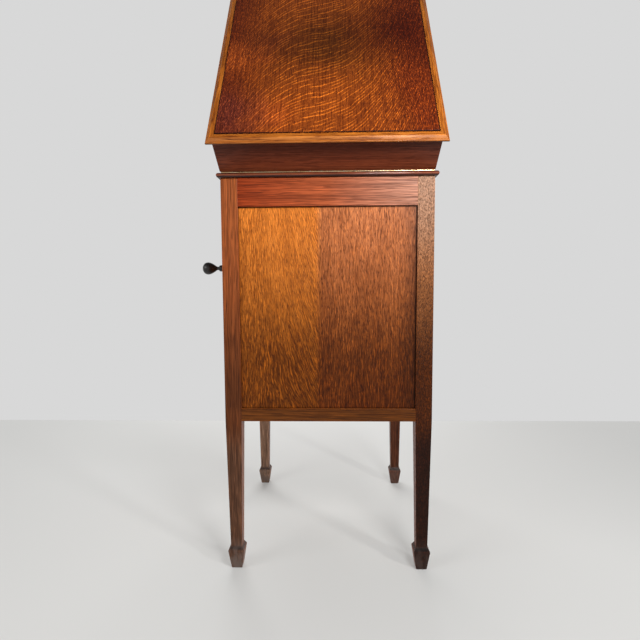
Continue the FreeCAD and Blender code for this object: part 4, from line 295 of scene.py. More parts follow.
# Quarter-sawn oak veneer, stained and polished: pale rays lie in ripples across the middle and sweep up to
# both sides, where they break into fine flecks, and the stain is paler and darker in patches.
def figuredOak(name, look):
    material, add, shader = newMaterial(name)
    grain = add("ShaderNodeAttribute", attribute_name="grain").outputs["Vector"]
    wearAndShade = add("ShaderNodeAttribute", attribute_name="wearAndShade").outputs["Fac"]
    part = add("ShaderNodeSeparateXYZ", {0: grain}).outputs
    up, across = part["X"], part["Y"]          # millimetres from the hinge edge, and to the side
    out = add("ShaderNodeMath", {0: across, 1: 1 / look["unit"], 2: look["offset"] / look["unit"]},
              operation="MULTIPLY_ADD")
    far = add("ShaderNodeMath", {0: out}, operation="ABSOLUTE")
    curve = add("ShaderNodeMath", {0: far, 1: look["power"]}, operation="POWER")
    side = add("ShaderNodeMath", {0: out}, operation="SIGN")
    turned = add("ShaderNodeMath", {0: curve, 1: side}, operation="MULTIPLY")
    tilt = add("ShaderNodeMath", {0: across, 1: look["slope"]}, operation="MULTIPLY")
    lift = add("ShaderNodeMath", {0: turned, 1: look["sweep"], 2: tilt}, operation="MULTIPLY_ADD")
    wander = add("ShaderNodeTexNoise", {"Vector": grain, "Scale": 1 / look["wanderSize"], "Detail": 2.0})
    level = add("ShaderNodeMath", {0: up, 1: lift}, operation="SUBTRACT")
    level = add("ShaderNodeMath", {0: wander, 1: look["wander"], 2: level}, operation="MULTIPLY_ADD")
    run = add("ShaderNodeMath", {0: turned, 1: look["shorten"], 2: across}, operation="MULTIPLY_ADD")
    spot = add("ShaderNodeCombineXYZ", {0: run, 1: level})

    # One ray to a row, broken along its length. Dots join in towards the sides, and on one side few rays
    # are left.
    half = look["pitch"] / 2
    row = add("ShaderNodeMath", {0: level, 1: half}, operation="PINGPONG")
    line = add("ShaderNodeMapRange", {"Value": row, "From Min": half - look["thick"], "From Max": half},
               interpolation_type="SMOOTHSTEP")
    unbroken = streaks(add, spot, (look["length"], look["pitch"]), look["broken"])
    whole = add("ShaderNodeMath", {0: line, 1: unbroken}, operation="MULTIPLY")
    kept = add("ShaderNodeMapRange", {"Value": out, "From Min": look["bareSide"][0],
                                      "From Max": look["bareSide"][1], "To Min": look["leftRays"]})
    rays = add("ShaderNodeMath", {0: whole, 1: kept}, operation="MULTIPLY")
    sideways = add("ShaderNodeMapRange", {"Value": far, "From Min": look["sides"][0],
                                          "From Max": look["sides"][1]}, interpolation_type="SMOOTHSTEP")
    shares = {mark: streaks(add, spot if mark == "flecks" else grain, how["size"], how["edge"])
              for mark, how in look["marks"].items()}
    shares["dots"] = add("ShaderNodeMath", {0: shares["dots"], 1: sideways}, operation="MULTIPLY")

    # The stain: warm in the middle, maroon at the sides, with paler and darker patches of blurred outline.
    drift = add("ShaderNodeTexNoise", {"Vector": grain, "Scale": 1 / look["blurSize"], "Detail": 3.0})
    shifted = add("ShaderNodeVectorMath", {0: drift.outputs["Color"], 1: (look["blur"], look["blur"], 0.0),
                                           2: grain}, operation="MULTIPLY_ADD")
    layers = [(sideways, look["maroon"])]
    for patch in look["patches"]:
        middle = (*(place + look["blur"] / 2 for place in patch["at"]), 0.0)
        gap = add("ShaderNodeVectorMath", {0: shifted, 1: middle}, operation="DISTANCE")
        share = add("ShaderNodeMapRange", {"Value": gap, "From Min": patch["reach"], "From Max": 0.0,
                                           "To Max": patch["strength"]}, interpolation_type="SMOOTHSTEP")
        layers.append((share, patch["colour"]))
    layers += [(shares[mark], how["tint"]) for mark, how in look["marks"].items()]
    # Painted shade: a dark line on the field's eased edge, the gap to the moulding.
    layers += [(rays, look["rayTint"]), (wearAndShade, look["gapShadeTint"])]
    relief = add("ShaderNodeMath", {0: rays, 1: shares["pores"]}, operation="SUBTRACT")
    polish(add, shader, look, layered(add, srgb(look["warm"]), layers), shares["pores"], relief)
    return material


# Millimetres, but the sides are in units from the middle of the figure.
fieldLook = dict(
    unit=100.0, offset=20.0, power=2.2, slope=0.2, sweep=56.0, wander=20.0, wanderSize=60.0, shorten=70.0,
    pitch=9.0, thick=2.5, length=50.0, broken=(0.43, 0.58),
    sides=(0.6, 1.9), bareSide=(-1.6, -0.7), leftRays=0.35,
    marks={
        "lines": dict(size=(130, 3.2), edge=(0.44, 0.62), tint=(0.66, 0.60, 0.54)),
        "pores": dict(size=(16, 2.0), edge=(0.53, 0.65), tint=(0.52, 0.44, 0.38)),
        "flecks": dict(size=(7.0, 2.6), edge=(0.52, 0.64), tint=(1.45, 1.6, 1.5)),
        "dots": dict(size=(7.0, 2.8), edge=(0.52, 0.63), tint=(2.2, 2.5, 1.8)),
    },
    rayTint=(2.9, 3.4, 2.8), gapShadeTint=(0.16, 0.14, 0.16),
    warm="#7a370d", maroon="#541c06", blur=80.0, blurSize=40.0,
    patches=[
        dict(at=(265, 0), reach=190, strength=0.95, colour="#482004"),        # olive brown heart
        dict(at=(100, 0), reach=120, strength=0.85, colour="#863d0e"),        # paler orange under it
        dict(at=(50, -104), reach=74, strength=0.9, colour="#9a4414"),
        dict(at=(45, 95), reach=95, strength=0.8, colour="#6e2f0b"),
        dict(at=(45, -185), reach=118, strength=0.9, colour="#541f16"),       # dark corner
        dict(at=(215, -180), reach=90, strength=0.7, colour="#8a3c13"),
        dict(at=(270, -120), reach=80, strength=0.6, colour="#481a0a"),
        dict(at=(310, 165), reach=170, strength=0.95, colour="#350a01"),
    ],
    gloss=0.4, poreRough=0.6, relief=0.35, depth=0.2, coat=0.04, coatRough=0.3, specular=0.12)


# Rub marks of the metals, in millimetres: soft patches, and scratches pulled out along the piece.
rubMarks = dict(patch=14.0, edge=(0.38, 0.7), scratch=1.2, pull=(1.0, 0.15, 0.6), relief=0.06, depth=0.1)


# A metal with rub marks: its polish varies in soft patches and fine scratches.
def metalMaterial(name, look):
    look = dict(rubMarks, **look)
    material, add, shader = newMaterial(name)
    place = add("ShaderNodeTexCoord").outputs["Object"]
    patch = add("ShaderNodeTexNoise", {"Vector": place, "Scale": 1 / (look["patch"] * mm), "Detail": 4.0})
    pulled = add("ShaderNodeVectorMath", {0: place, 1: look["pull"]}, operation="MULTIPLY")
    scratch = add("ShaderNodeTexNoise", {"Vector": pulled, "Scale": 1 / (look["scratch"] * mm),
                                         "Detail": 2.0})
    share = add("ShaderNodeMapRange", {"Value": patch, "From Min": look["edge"][0],
                                       "From Max": look["edge"][1]})
    rough = add("ShaderNodeMapRange", {"Value": patch, "To Min": look["rough"][0],
                                       "To Max": look["rough"][1]})
    bump = add("ShaderNodeBump", {"Height": scratch, "Strength": look["relief"],
                                  "Distance": look["depth"] * mm})
    feed(shader, {"Base Color": layered(add, srgb(look["colour"]), [(share, look["dull"])]),
                  "Roughness": rough, "Normal": bump, "Metallic": 1.0})
    return material


# What the other finishes share, where one doesn't say otherwise.
plainSurface = dict(stretch=(1.0, 1.0, 1.0), broad=45.0, blend=0.4, edge=(0.36, 0.64), depth=0.3,
                    coat=0.0, coatRough=0.15, sheen=0.0, alpha=1.0)


# A dull or painted surface with a fine grain, and a soft change of tone over some centimetres.
def grainyMaterial(name, look):
    look = dict(plainSurface, **look)
    material, add, shader = newMaterial(name)
    place = add("ShaderNodeTexCoord").outputs["Object"]
    pulled = add("ShaderNodeVectorMath", {0: place, 1: look["stretch"]}, operation="MULTIPLY")
    fine = add("ShaderNodeTexNoise", {"Vector": pulled, "Scale": 1 / (look["grain"] * mm), "Detail": 3.0})
    broad = add("ShaderNodeTexNoise", {"Vector": place, "Scale": 1 / (look["broad"] * mm), "Detail": 2.0})
    both = add("ShaderNodeMix", {0: look["blend"], 2: fine, 3: broad})
    share = add("ShaderNodeMapRange", {"Value": both, "From Min": look["edge"][0],
                                       "From Max": look["edge"][1]})
    bump = add("ShaderNodeBump", {"Height": fine, "Strength": look["relief"],
                                  "Distance": look["depth"] * mm})
    feed(shader, {"Base Color": layered(add, srgb(look["colour"]), [(share, look["second"])]),
                  "Roughness": look["rough"], "Normal": bump, "Coat Weight": look["coat"],
                  "Coat Roughness": look["coatRough"], "Sheen Weight": look["sheen"], "Alpha": look["alpha"]})
    return material


finishes = {
    "oak": oakMaterial("polishedOak", frameOak),
    "sheenedLeg": oakMaterial("sheenedLegOak", sheenedLegOak),
    "shaded": oakMaterial("shadedOak", shadedOak),
    "back": oakMaterial("polishedOakBack", backOak),
    "speckled": oakMaterial("quarterSawnOakEdge", speckledOak),
    "panel": oakMaterial("flakedOakPanel", panelOak),
    "backPanel": oakMaterial("flakedOakBack", backPanelOak),
    "rim": oakMaterial("polishedOakRim", rimOak),
    "lid": oakMaterial("polishedOakLid", lidOak),
    "moulding": oakMaterial("goldenOakMoulding", mouldingOak),
    "field": figuredOak("figuredOakVeneer", fieldLook),
    # Planed softwood, never polished: pale, dull, with soft growth lines.
    "pine": grainyMaterial("planedPine", dict(
        colour="#a07a4c", second="#7d5a34", rough=0.7, grain=3.0, relief=0.25, stretch=(1.0, 0.12, 1.0))),
    # Beech dyed black and polished: near black, with a clear highlight.
    "ebonised": grainyMaterial("ebonisedBeech", dict(
        colour="#0d0b0b", second="#1d1816", rough=0.38, grain=2.5, relief=0.08, stretch=(0.15, 1.0, 1.0),
        coat=0.06)),
    # Brass left to tarnish: brown in the hollows, yellow where hands rub it.
    "brass": metalMaterial("agedBrass", dict(colour="#c9a35c", dull="#8d6a34", rough=(0.23, 0.45))),
    # The same brass where it is rubbed bright: paler, with a sharper shine.
    "rubbed": metalMaterial("rubbedBrass", dict(colour="#e6cfa6", dull="#c2a374", rough=(0.18, 0.32))),
    # Nickel plate, polished, slightly warm with age.
    "nickel": metalMaterial("platedNickel", dict(colour="#cfc8bc", dull="#a79f92", rough=(0.12, 0.28))),
    # Turned and drawn steel, oiled: a plain grey with a soft shine.
    "steel": metalMaterial("turnedSteel", dict(colour="#a3a2a0", dull="#77736e", rough=(0.22, 0.42))),
    # Cast iron under black stoving lacquer: black, slightly uneven, with a wet shine.
    "iron": grainyMaterial("japannedIron", dict(
        colour="#101010", second="#1b1a19", rough=0.38, grain=1.8, relief=0.2, coat=0.3)),
    # Wool felt: a short nap with no highlight.
    "felt": grainyMaterial("greenFelt", dict(
        colour="#1d3a28", second="#2b4c36", rough=0.95, grain=1.4, relief=0.7, sheen=0.12)),
    # Tanned leather, cut from a hide: dull brown with a fine, rough grain.
    "leather": grainyMaterial("brakeLeather", dict(
        colour="#5a3620", second="#744a2c", rough=0.75, grain=1.0, relief=0.5)),
    # Moulded rubber: a flat dark grey.
    "rubber": grainyMaterial("blackRubber", dict(
        colour="#171616", second="#232120", rough=0.7, grain=1.4, relief=0.2)),
    # Mica sheet: clear, faintly brown, cloudy in its layers.
    "mica": grainyMaterial("micaSheet", dict(
        colour="#d9d0b8", second="#b5a582", rough=0.18, grain=9.0, relief=0.05, alpha=0.55)),
    # Paint in the dial's ticks: even and nearly black.
    "mark": grainyMaterial("blackDialPaint", dict(
        colour="#141210", second="#1d1a17", rough=0.5, grain=1.0, relief=0.05)),
}
print("materials made,", len(finishes))

fineness = 1e7          # points are told apart to a ten-millionth of a metre


# The closed solids of a node, in order: a run of faces is whole when every edge has met its partner.
def solidsOf(node):
    mesh = frame["nodes"][node].data
    spots = [tuple(round(c * fineness) for c in vertex.co) for vertex in mesh.vertices]
    waiting, run, solids = {}, [], []
    for face in mesh.polygons:
        corners = list(face.vertices)
        run.append([mesh.vertices[k].co.copy() for k in corners])
        ring = [spots[k] for k in corners]
        for a, b in zip(ring, ring[1:] + ring[:1]):
            if a == b:
                continue
            if waiting.get((b, a), 0) > 0:
                waiting[(b, a)] -= 1
                if waiting[(b, a)] == 0:
                    del waiting[(b, a)]
            else:
                waiting[(a, b)] = waiting.get((a, b), 0) + 1
        if not waiting:
            solids.append(run)
            run = []
    return solids + ([run] if run else [])


# Points that are merged and slivers that go, in millimetres, and the angles of a flat joint and of an arris.
joinery = dict(merge=0.002, sliver=0.001, flat=math.radians(0.6), arris=math.radians(35))


# One solid as a merged mesh, its outer arrises eased by some tenths of a millimetre and marked: the oak rubs the
# marked faces paler as wear, and the figured field paints them dark as shade.
def solidMesh(faces, ease, look=joinery):
    bm = bmesh.new()
    for corners in faces:
        bm.faces.new([bm.verts.new(corner) for corner in corners])
    bmesh.ops.remove_doubles(bm, verts=bm.verts, dist=look["merge"] * mm)
    bmesh.ops.dissolve_degenerate(bm, edges=bm.edges, dist=look["sliver"] * mm)
    wearAndShade = bm.faces.layers.float.new("wearAndShade")
    if ease:
        bmesh.ops.dissolve_limit(bm, angle_limit=look["flat"], verts=bm.verts, edges=bm.edges)
        sharp = [e for e in bm.edges
                 if len(e.link_faces) == 2 and e.calc_face_angle_signed(0) > look["arris"]]
        made = bmesh.ops.bevel(bm, geom=sharp, offset=ease * mm, segments=2, profile=0.5, affect="EDGES",
                               clamp_overlap=True)
        for face in made["faces"]:
            face[wearAndShade] = 1.0
    return bm


# All the solids of a node in one mesh, each worked on by itself first.
def joinSolids(node, ease, work):
    whole = bmesh.new()
    spare = bpy.data.meshes.new("spare")
    for faces in solidsOf(node):
        bm = solidMesh(faces, ease)
        work(bm)
        bm.to_mesh(spare)
        bm.free()
        whole.from_mesh(spare)
    bpy.data.meshes.remove(spare)
    return whole


def addPiece(name, bm, node, material, smooth):
    mesh = bpy.data.meshes.new(name)
    bm.to_mesh(mesh)
    bm.free()
    mesh.shade_smooth()
    mesh.set_sharp_from_angle(angle=math.radians(smooth))
    mesh.materials.append(material)
    piece = bpy.data.objects.new(name, mesh)
    scene.collection.objects.link(piece)
    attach(piece, bodyOf[node])
    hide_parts(node)
    return piece


# Lid boards are measured with the lid shut, so that their grain follows the board and not the floor.
lidHinge = jointOf["lid"]
shutLid = (Matrix.Translation(Vector(lidHinge["pos_m"]))
           @ Matrix.Rotation(math.radians(lidHinge["range_deg"][0]), 4, Vector(lidHinge["axis"]))
           @ Matrix.Translation(-Vector(lidHinge["pos_m"])))


# What the boards share: each starts somewhere else in the grain, in millimetres, and takes its stain a little
# differently. Arrises are eased by millimetres, and edges under so many degrees are smooth.
plainBoard = dict(finish="oak", ease=0.6, smooth=18, shift=900, batch=(0.95, 1.05), centre=False)
# Several stains in a tuple run from a board's low end to its high end. A list has a stain for the boards
# below a plane and one for those above it: axis 0 is X and 2 is Z.
woodwork = {
    "front_left_post": dict(stain="#8a4a2a", finish="shaded"),
    "front_right_post": dict(stain="#8a4a2a", finish="sheenedLeg"),
    "back_left_post": dict(stain="#a27659", finish="speckled"),
    "back_right_post": dict(stain="#9e542a", finish="back"),
    # Painted sheen: the upper rails' stain runs from a pale pink at low X, a sheen painted into it, to deep red at
    # high X.
    "back_rails": dict(stain=["#ac5d22", ("#ba8167", "#a4522e", "#8d3412")], split=(2, 0.5), cut=(1, 0, 0),
                       finish="back"),
    "side_rails": dict(stain="#a0552e"), "front_rails": dict(stain="#a0552e"),
    "back_panel": dict(stain=[("#c46a1b", "#d88535"), "#d2792c"], split=(0, 0.019),
                       finish="backPanel", ease=0),
    "side_panels": dict(stain="#c06c34", finish="panel", ease=0),
    "top_rim": dict(stain="#8a472c", finish="rim", ease=0.4, smooth=30),
    "lid_boards": dict(stain="#5b2d1f", finish="lid"),
    "lid_moulding": dict(stain="#ad6420", finish="moulding", ease=0.4, smooth=30),
    "lid_field": dict(stain="#7a3a18", finish="field", ease=1.4, grain=1, centre=True),
    "left_door_frame": dict(stain="#a85c30"), "right_door_frame": dict(stain="#a85c30"),
    "left_door_panel": dict(stain="#d07a34", finish="panel", ease=0),
    "right_door_panel": dict(stain="#d07a34", finish="panel", ease=0),
    "louvres": dict(stain="#7a4528"), "motor_board": dict(stain="#94552e", grain=0, finish="lid"),
}


# One board's grain, in millimetres along and across it, and its stain.
def stainBoard(bm, look, shut):
    if "cut" in look:          # a ring of points in the middle, for a stain of three colours
        bmesh.ops.bisect_plane(bm, geom=bm.verts[:] + bm.edges[:] + bm.faces[:], plane_co=(0, 0, 0),
                               plane_no=look["cut"])
    grain = bm.verts.layers.float_vector.new("grain")
    stain = bm.verts.layers.float_color.new("stain")
    local = {v: shut @ v.co for v in bm.verts}
    low = Vector(min(p[k] for p in local.values()) for k in range(3))
    high = Vector(max(p[k] for p in local.values()) for k in range(3))
    size = high - low
    main = look.get("grain", max(range(3), key=lambda k: size[k]))
    others = [k for k in range(3) if k != main]
    zero = Vector(((low.x + high.x) / 2, high.y, high.z)) if look["centre"] else low
    shift = Vector([rng.uniform(0, look["shift"]) for k in range(3)])
    hexes = look["stain"]
    if isinstance(hexes, list):
        axis, limit = look["split"]
        hexes = hexes[1] if (low + high)[axis] / 2 > limit else hexes[0]
    hexes = hexes if isinstance(hexes, tuple) else (hexes, hexes)
    batch = rng.uniform(*look["batch"])
    tones = [Vector(srgb(text)[:3]) * batch for text in hexes]
    steps = len(tones) - 1
    for v in bm.verts:
        p = (local[v] - zero) / mm
        v[grain] = Vector((p[main], p[others[0]], p[others[1]])) + shift
        if look["centre"]:
            v[grain] = Vector((-p.y, -p.x, p.z))
        along = (local[v] - low)[main] / size[main] * steps
        step = min(int(along), steps - 1)
        v[stain] = (*tones[step].lerp(tones[step + 1], along - step), 1.0)


def dressBoards(node, look):
    look = dict(plainBoard, **look)
    shut = shutLid if bodyOf[node] == "lid" else Matrix.Identity(4)
    whole = joinSolids(node, look["ease"], lambda bm: stainBoard(bm, look, shut))
    addPiece(node + "_wood", whole, node, finishes[look["finish"]], look["smooth"])


for node, look in woodwork.items():
    dressBoards(node, look)
print("boards dressed,", len(woodwork))


# What metal and other small pieces share: sharp arrises, and edges under so many degrees are smooth.
plainMetal = dict(ease=0, smooth=32)
metalwork = {
    "case_brasswork": dict(finish="rubbed"), "lid_brasswork": dict(finish="rubbed"),
    "left_door_brasswork": dict(finish="brass"), "right_door_brasswork": dict(finish="brass"),
    "crank_escutcheon": dict(finish="brass"), "speed_dial": dict(finish="brass"),
    "tonearm": dict(finish="nickel"), "soundbox_case": dict(finish="nickel"),
    "gooseneck": dict(finish="nickel", spigot=dict(radius=8.45, within=0.2, end=24.5, slack=0.15)),
    "tonearm_base": dict(finish="nickel"), "arm_rest": dict(finish="nickel", ease=0.4),
    "needle_cups": dict(finish="nickel"), "crank": dict(finish="nickel", ease=0.5),
    "platter": dict(finish="nickel"), "speed_knob": dict(finish="nickel"),
    "brake_lever": dict(finish="nickel", ease=0.3), "stylus_bar": dict(finish="nickel"),
    "deck_screws": dict(finish="nickel"), "needle": dict(finish="steel"), "lever_studs": dict(finish="steel"),
    "hinge_pins": dict(finish="steel"), "spindle": dict(finish="steel"), "horn_elbow": dict(finish="iron"),
    "spring_barrel": dict(finish="iron"), "motor_frame": dict(finish="iron"),
    "crank_knob": dict(finish="ebonised"),
    "soundbox_rubber": dict(finish="rubber"), "motor_grommets": dict(finish="rubber"),
    "diaphragm": dict(finish="mica"), "brake_pad": dict(finish="leather", ease=1.0),
    "bottom_board": dict(finish="pine", ease=0.5), "horn_boards": dict(finish="pine", ease=0.5),
    "board_bearers": dict(finish="pine", ease=0.8),
}


# A spigot that turns in a socket is drawn a little slimmer, so that its facets clear the socket's.
def slimSpigot(bm, joint, look):
    axis = Vector(joint["axis"])
    for v in bm.verts:
        off = v.co - Vector(joint["pos_m"])
        along = off.dot(axis)
        radial = off - along * axis
        if along < look["end"] * mm and abs(radial.length - look["radius"] * mm) < look["within"] * mm:
            v.co -= radial.normalized() * look["slack"] * mm


def dressMetal(node, look):
    look = dict(plainMetal, **look)

    def work(bm):
        if "spigot" in look:
            slimSpigot(bm, jointOf[bodyOf[node]], look["spigot"])

    whole = joinSolids(node, look["ease"], work)
    return addPiece(node + "_finished", whole, node, finishes[look["finish"]], look["smooth"])


dressed = {node: dressMetal(node, look) for node, look in metalwork.items()}
motorFinish = {
    "countershaft": "brass", "mainspring": "steel", "winding_arbor": "steel", "governor_shaft": "steel",
    "governor_weights": "brass", "motor_bearings": "brass", "speed_lever": "steel",
}
for node, finish in motorFinish.items():
    frame["nodes"][node].data.materials.clear()
    frame["nodes"][node].data.materials.append(finishes[finish])
print("metal and other pieces dressed,", len(dressed) + len(motorFinish))


# Platter cloth: a felt disc, softly rounded at its edge and hole, with a slightly uneven nap. Sizes are
# millimetres, and the last four are shares of the cloth's thickness.
cloth = dict(segments=160, rings=46, hole=5.0, edge=0.6, uneven=0.12, undercut=0.2, smooth=60,
             holeWall=0.6, rimWall=0.55, shoulder=0.97, napFrom=0.9)


def makeCloth(look):
    low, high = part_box("platter_cloth")
    centre = (low + high) / 2
    outer = (high.x - low.x) / 2
    inner = look["hole"] * mm
    thick = high.z - low.z
    edge = look["edge"] * mm
    shoulder = thick * look["shoulder"]
    profile = [(inner, 0.0), (inner, thick * look["holeWall"]), (inner + edge, shoulder)]
    for k in range(1, look["rings"]):
        profile.append((inner + (outer - inner) * k / look["rings"], thick))
    profile += [(outer - edge, shoulder), (outer, thick * look["rimWall"]),
                (outer - look["undercut"] * mm, 0.0)]
    bm = bmesh.new()
    rings = []
    for radius, height in profile:
        ring = []
        for k in range(look["segments"]):
            angle = 2 * math.pi * k / look["segments"]
            nap = rng.uniform(-look["uneven"], 0) * mm if height > thick * look["napFrom"] else 0.0
            ring.append(bm.verts.new((centre.x + radius * math.cos(angle),
                                      centre.y + radius * math.sin(angle), low.z + height + nap)))
        rings.append(ring)
    for a, b in zip(rings, rings[1:] + rings[:1]):
        for k in range(look["segments"]):
            n = (k + 1) % look["segments"]
            bm.faces.new((a[k], b[k], b[n], a[n]))
    bmesh.ops.recalc_face_normals(bm, faces=bm.faces)
    piece = addPiece("platter_felt", bm, "platter_cloth", finishes["felt"], look["smooth"])


makeCloth(cloth)
print("cloth laid")


# Rows and rings of small parts come from two node trees with named sizes.
def newTree(name, inputs):
    tree = bpy.data.node_groups.new(name, "GeometryNodeTree")
    for label, kind in inputs.items():
        tree.interface.new_socket(label, in_out="INPUT", socket_type="NodeSocket" + kind)
    tree.interface.new_socket("Geometry", in_out="OUTPUT", socket_type="NodeSocketGeometry")
    return tree, partial(addNode, tree), addNode(tree, "NodeGroupInput").outputs


def closeTree(add, shape, material):
    real = add("GeometryNodeRealizeInstances", {"Geometry": shape})
    painted = add("GeometryNodeSetMaterial", {"Geometry": real, "Material": material})
    add("NodeGroupOutput", {"Geometry": painted})


def grow(name, tree, sizes, body):
    mesh = bpy.data.meshes.new(name + "_seed")
    seed = bpy.data.objects.new(name + "_seed", mesh)
    scene.collection.objects.link(seed)
    modifier = seed.modifiers.new("grow", "NODES")
    modifier.node_group = tree
    keys = {item.name: item.identifier for item in tree.interface.items_tree if item.in_out == "INPUT"}
    for label, value in sizes.items():
        modifier[keys[label]] = value
    bpy.context.view_layer.update()
    grown = bpy.data.meshes.new_from_object(seed.evaluated_get(bpy.context.evaluated_depsgraph_get()))
    bpy.data.objects.remove(seed)
    grown.name = name
    piece = bpy.data.objects.new(name, grown)
    scene.collection.objects.link(piece)
    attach(piece, body)


# Slotted screw heads in a straight row, each turned its own way. A slot is measured in radii of the head.
screwHead = dict(sides=28, slotLength=3.0, slotWidth=0.3, turn=3.1, seed=4)


def screwRowTree(material, look):
    tree, add, sizes = newTree("screwRow", {"Count": "Int", "Start": "Vector", "Step": "Vector",
                                            "Radius": "Float", "Height": "Float"})
    line = add("GeometryNodeMeshLine", {"Count": sizes["Count"], "Start Location": sizes["Start"],
                                        "Offset": sizes["Step"]})
    head = add("GeometryNodeMeshCylinder", {"Vertices": look["sides"], "Radius": sizes["Radius"],
                                            "Depth": sizes["Height"]})
    long = add("ShaderNodeMath", {0: sizes["Radius"], 1: look["slotLength"]}, operation="MULTIPLY")
    thin = add("ShaderNodeMath", {0: sizes["Radius"], 1: look["slotWidth"]}, operation="MULTIPLY")
    bar = add("ShaderNodeCombineXYZ", {0: long, 1: thin, 2: sizes["Height"]})
    cutter = add("GeometryNodeMeshCube", {"Size": bar})
    half = add("ShaderNodeMath", {0: sizes["Height"], 1: 0.5}, operation="MULTIPLY")
    rise = add("ShaderNodeCombineXYZ", {2: half})
    raised = add("GeometryNodeTransform", {"Geometry": cutter, "Translation": rise})
    slotted = add("GeometryNodeMeshBoolean", {"Mesh 1": head, "Mesh 2": raised}, operation="DIFFERENCE")
    turn = add("FunctionNodeRandomValue", {"Max": (0.0, 0.0, look["turn"]), "Seed": look["seed"]},
               data_type="FLOAT_VECTOR")
    placed = add("GeometryNodeInstanceOnPoints", {"Points": line, "Instance": slotted, "Rotation": turn})
    closeTree(add, placed, material)
    return tree


# Bars standing in a ring or part of one: knurling and dial ticks.
def barRingTree(material):
    tree, add, sizes = newTree("barRing", {"Count": "Int", "Centre": "Vector", "Radius": "Float",
                                           "From": "Float", "Pitch": "Float", "Bar": "Vector"})
    line = add("GeometryNodeMeshLine", {"Count": sizes["Count"]})
    number = add("GeometryNodeInputIndex")
    angle = add("ShaderNodeMath", {0: number, 1: sizes["Pitch"], 2: sizes["From"]}, operation="MULTIPLY_ADD")
    cosine = add("ShaderNodeMath", {0: angle}, operation="COSINE")
    sine = add("ShaderNodeMath", {0: angle}, operation="SINE")
    way = add("ShaderNodeCombineXYZ", {0: cosine, 1: sine})
    out = add("ShaderNodeVectorMath", {0: way, "Scale": sizes["Radius"]}, operation="SCALE")
    spot = add("ShaderNodeVectorMath", {0: out, 1: sizes["Centre"]}, operation="ADD")
    ring = add("GeometryNodeSetPosition", {"Geometry": line, "Position": spot})
    bar = add("GeometryNodeMeshCube", {"Size": sizes["Bar"]})
    turn = add("ShaderNodeCombineXYZ", {2: angle})
    placed = add("GeometryNodeInstanceOnPoints", {"Points": ring, "Instance": bar, "Rotation": turn})
    closeTree(add, placed, material)
    return tree


# The lid's piano hinge is held by a row of screws along the leaf on the rim.
hingeScrews = dict(count=13, inset=16.0, radius=2.1, height=0.5, inFront=8.0, middle=0.4)
low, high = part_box("top_rim")
leafLow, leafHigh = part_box("hinge_pins")
hingeHalf = (leafHigh.x - leafLow.x) / 2 - hingeScrews["inset"] * mm
grow("lid_hinge_screws", screwRowTree(finishes["brass"], screwHead), {
    "Count": hingeScrews["count"],
    "Start": (-hingeHalf, lidHinge["pos_m"][1] - hingeScrews["inFront"] * mm,
              high.z + hingeScrews["middle"] * mm),
    "Step": (2 * hingeHalf / (hingeScrews["count"] - 1), 0.0, 0.0),
    "Radius": hingeScrews["radius"] * mm,
    "Height": hingeScrews["height"] * mm,
}, "cabinet")

# Ticks of the speed dial, on its front side.
dialMarks = dict(count=17, spread=math.radians(160), tick=(2.6, 0.5, 0.12), inset=3.2)
low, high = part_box("speed_dial")
dialCentre = (low + high) / 2
dialRadius = (high.x - low.x) / 2
grow("speed_dial_ticks", barRingTree(finishes["mark"]), {
    "Count": dialMarks["count"],
    "Centre": (dialCentre.x, dialCentre.y, high.z),
    "Radius": dialRadius - dialMarks["inset"] * mm,
    "From": -math.pi / 2 - dialMarks["spread"] / 2,
    "Pitch": dialMarks["spread"] / (dialMarks["count"] - 1),
    "Bar": [size * mm for size in dialMarks["tick"]],
}, "cabinet")

# Knurling round the speed knob's grip.
knurl = dict(count=44, bar=(0.5, 0.55, 6.4), radius=8.0, below=2.8)
low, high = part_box("speed_knob")
grow("speed_knob_knurl", barRingTree(finishes["nickel"]), {
    "Count": knurl["count"],
    "Centre": (dialCentre.x, dialCentre.y, high.z - (knurl["below"] + knurl["bar"][2] / 2) * mm),
    "Radius": knurl["radius"] * mm,
    "From": 0.0,
    "Pitch": 2 * math.pi / knurl["count"],
    "Bar": [size * mm for size in knurl["bar"]],
}, "speed_knob")
print("screws, ticks and knurl grown")


# A plain pale floor and wall, in metres. Near the case the floor takes its shadows, and farther out it glows.
stageLook = dict(floor="#d4d4d2", rough=0.6, glow=(0.3, 1.0), reach=(0.9, 2.6), far=-0.84, near=5.0, half=5.0,
                 wall="#d8d8d8", ceiling=0.2, ceilingFrom=(0.5, 0.85), ambient="#f4f4f4", strength=0.3)


# Rays that show the stage itself: the camera's, those through mica, and reflections.
def showingRays(add):
    seen = add("ShaderNodeLightPath").outputs
    clear = add("ShaderNodeMath", {0: seen["Is Camera Ray"], 1: seen["Is Transmission Ray"]},
                operation="MAXIMUM")
    return add("ShaderNodeMath", {0: clear, 1: seen["Is Glossy Ray"]}, operation="MAXIMUM")


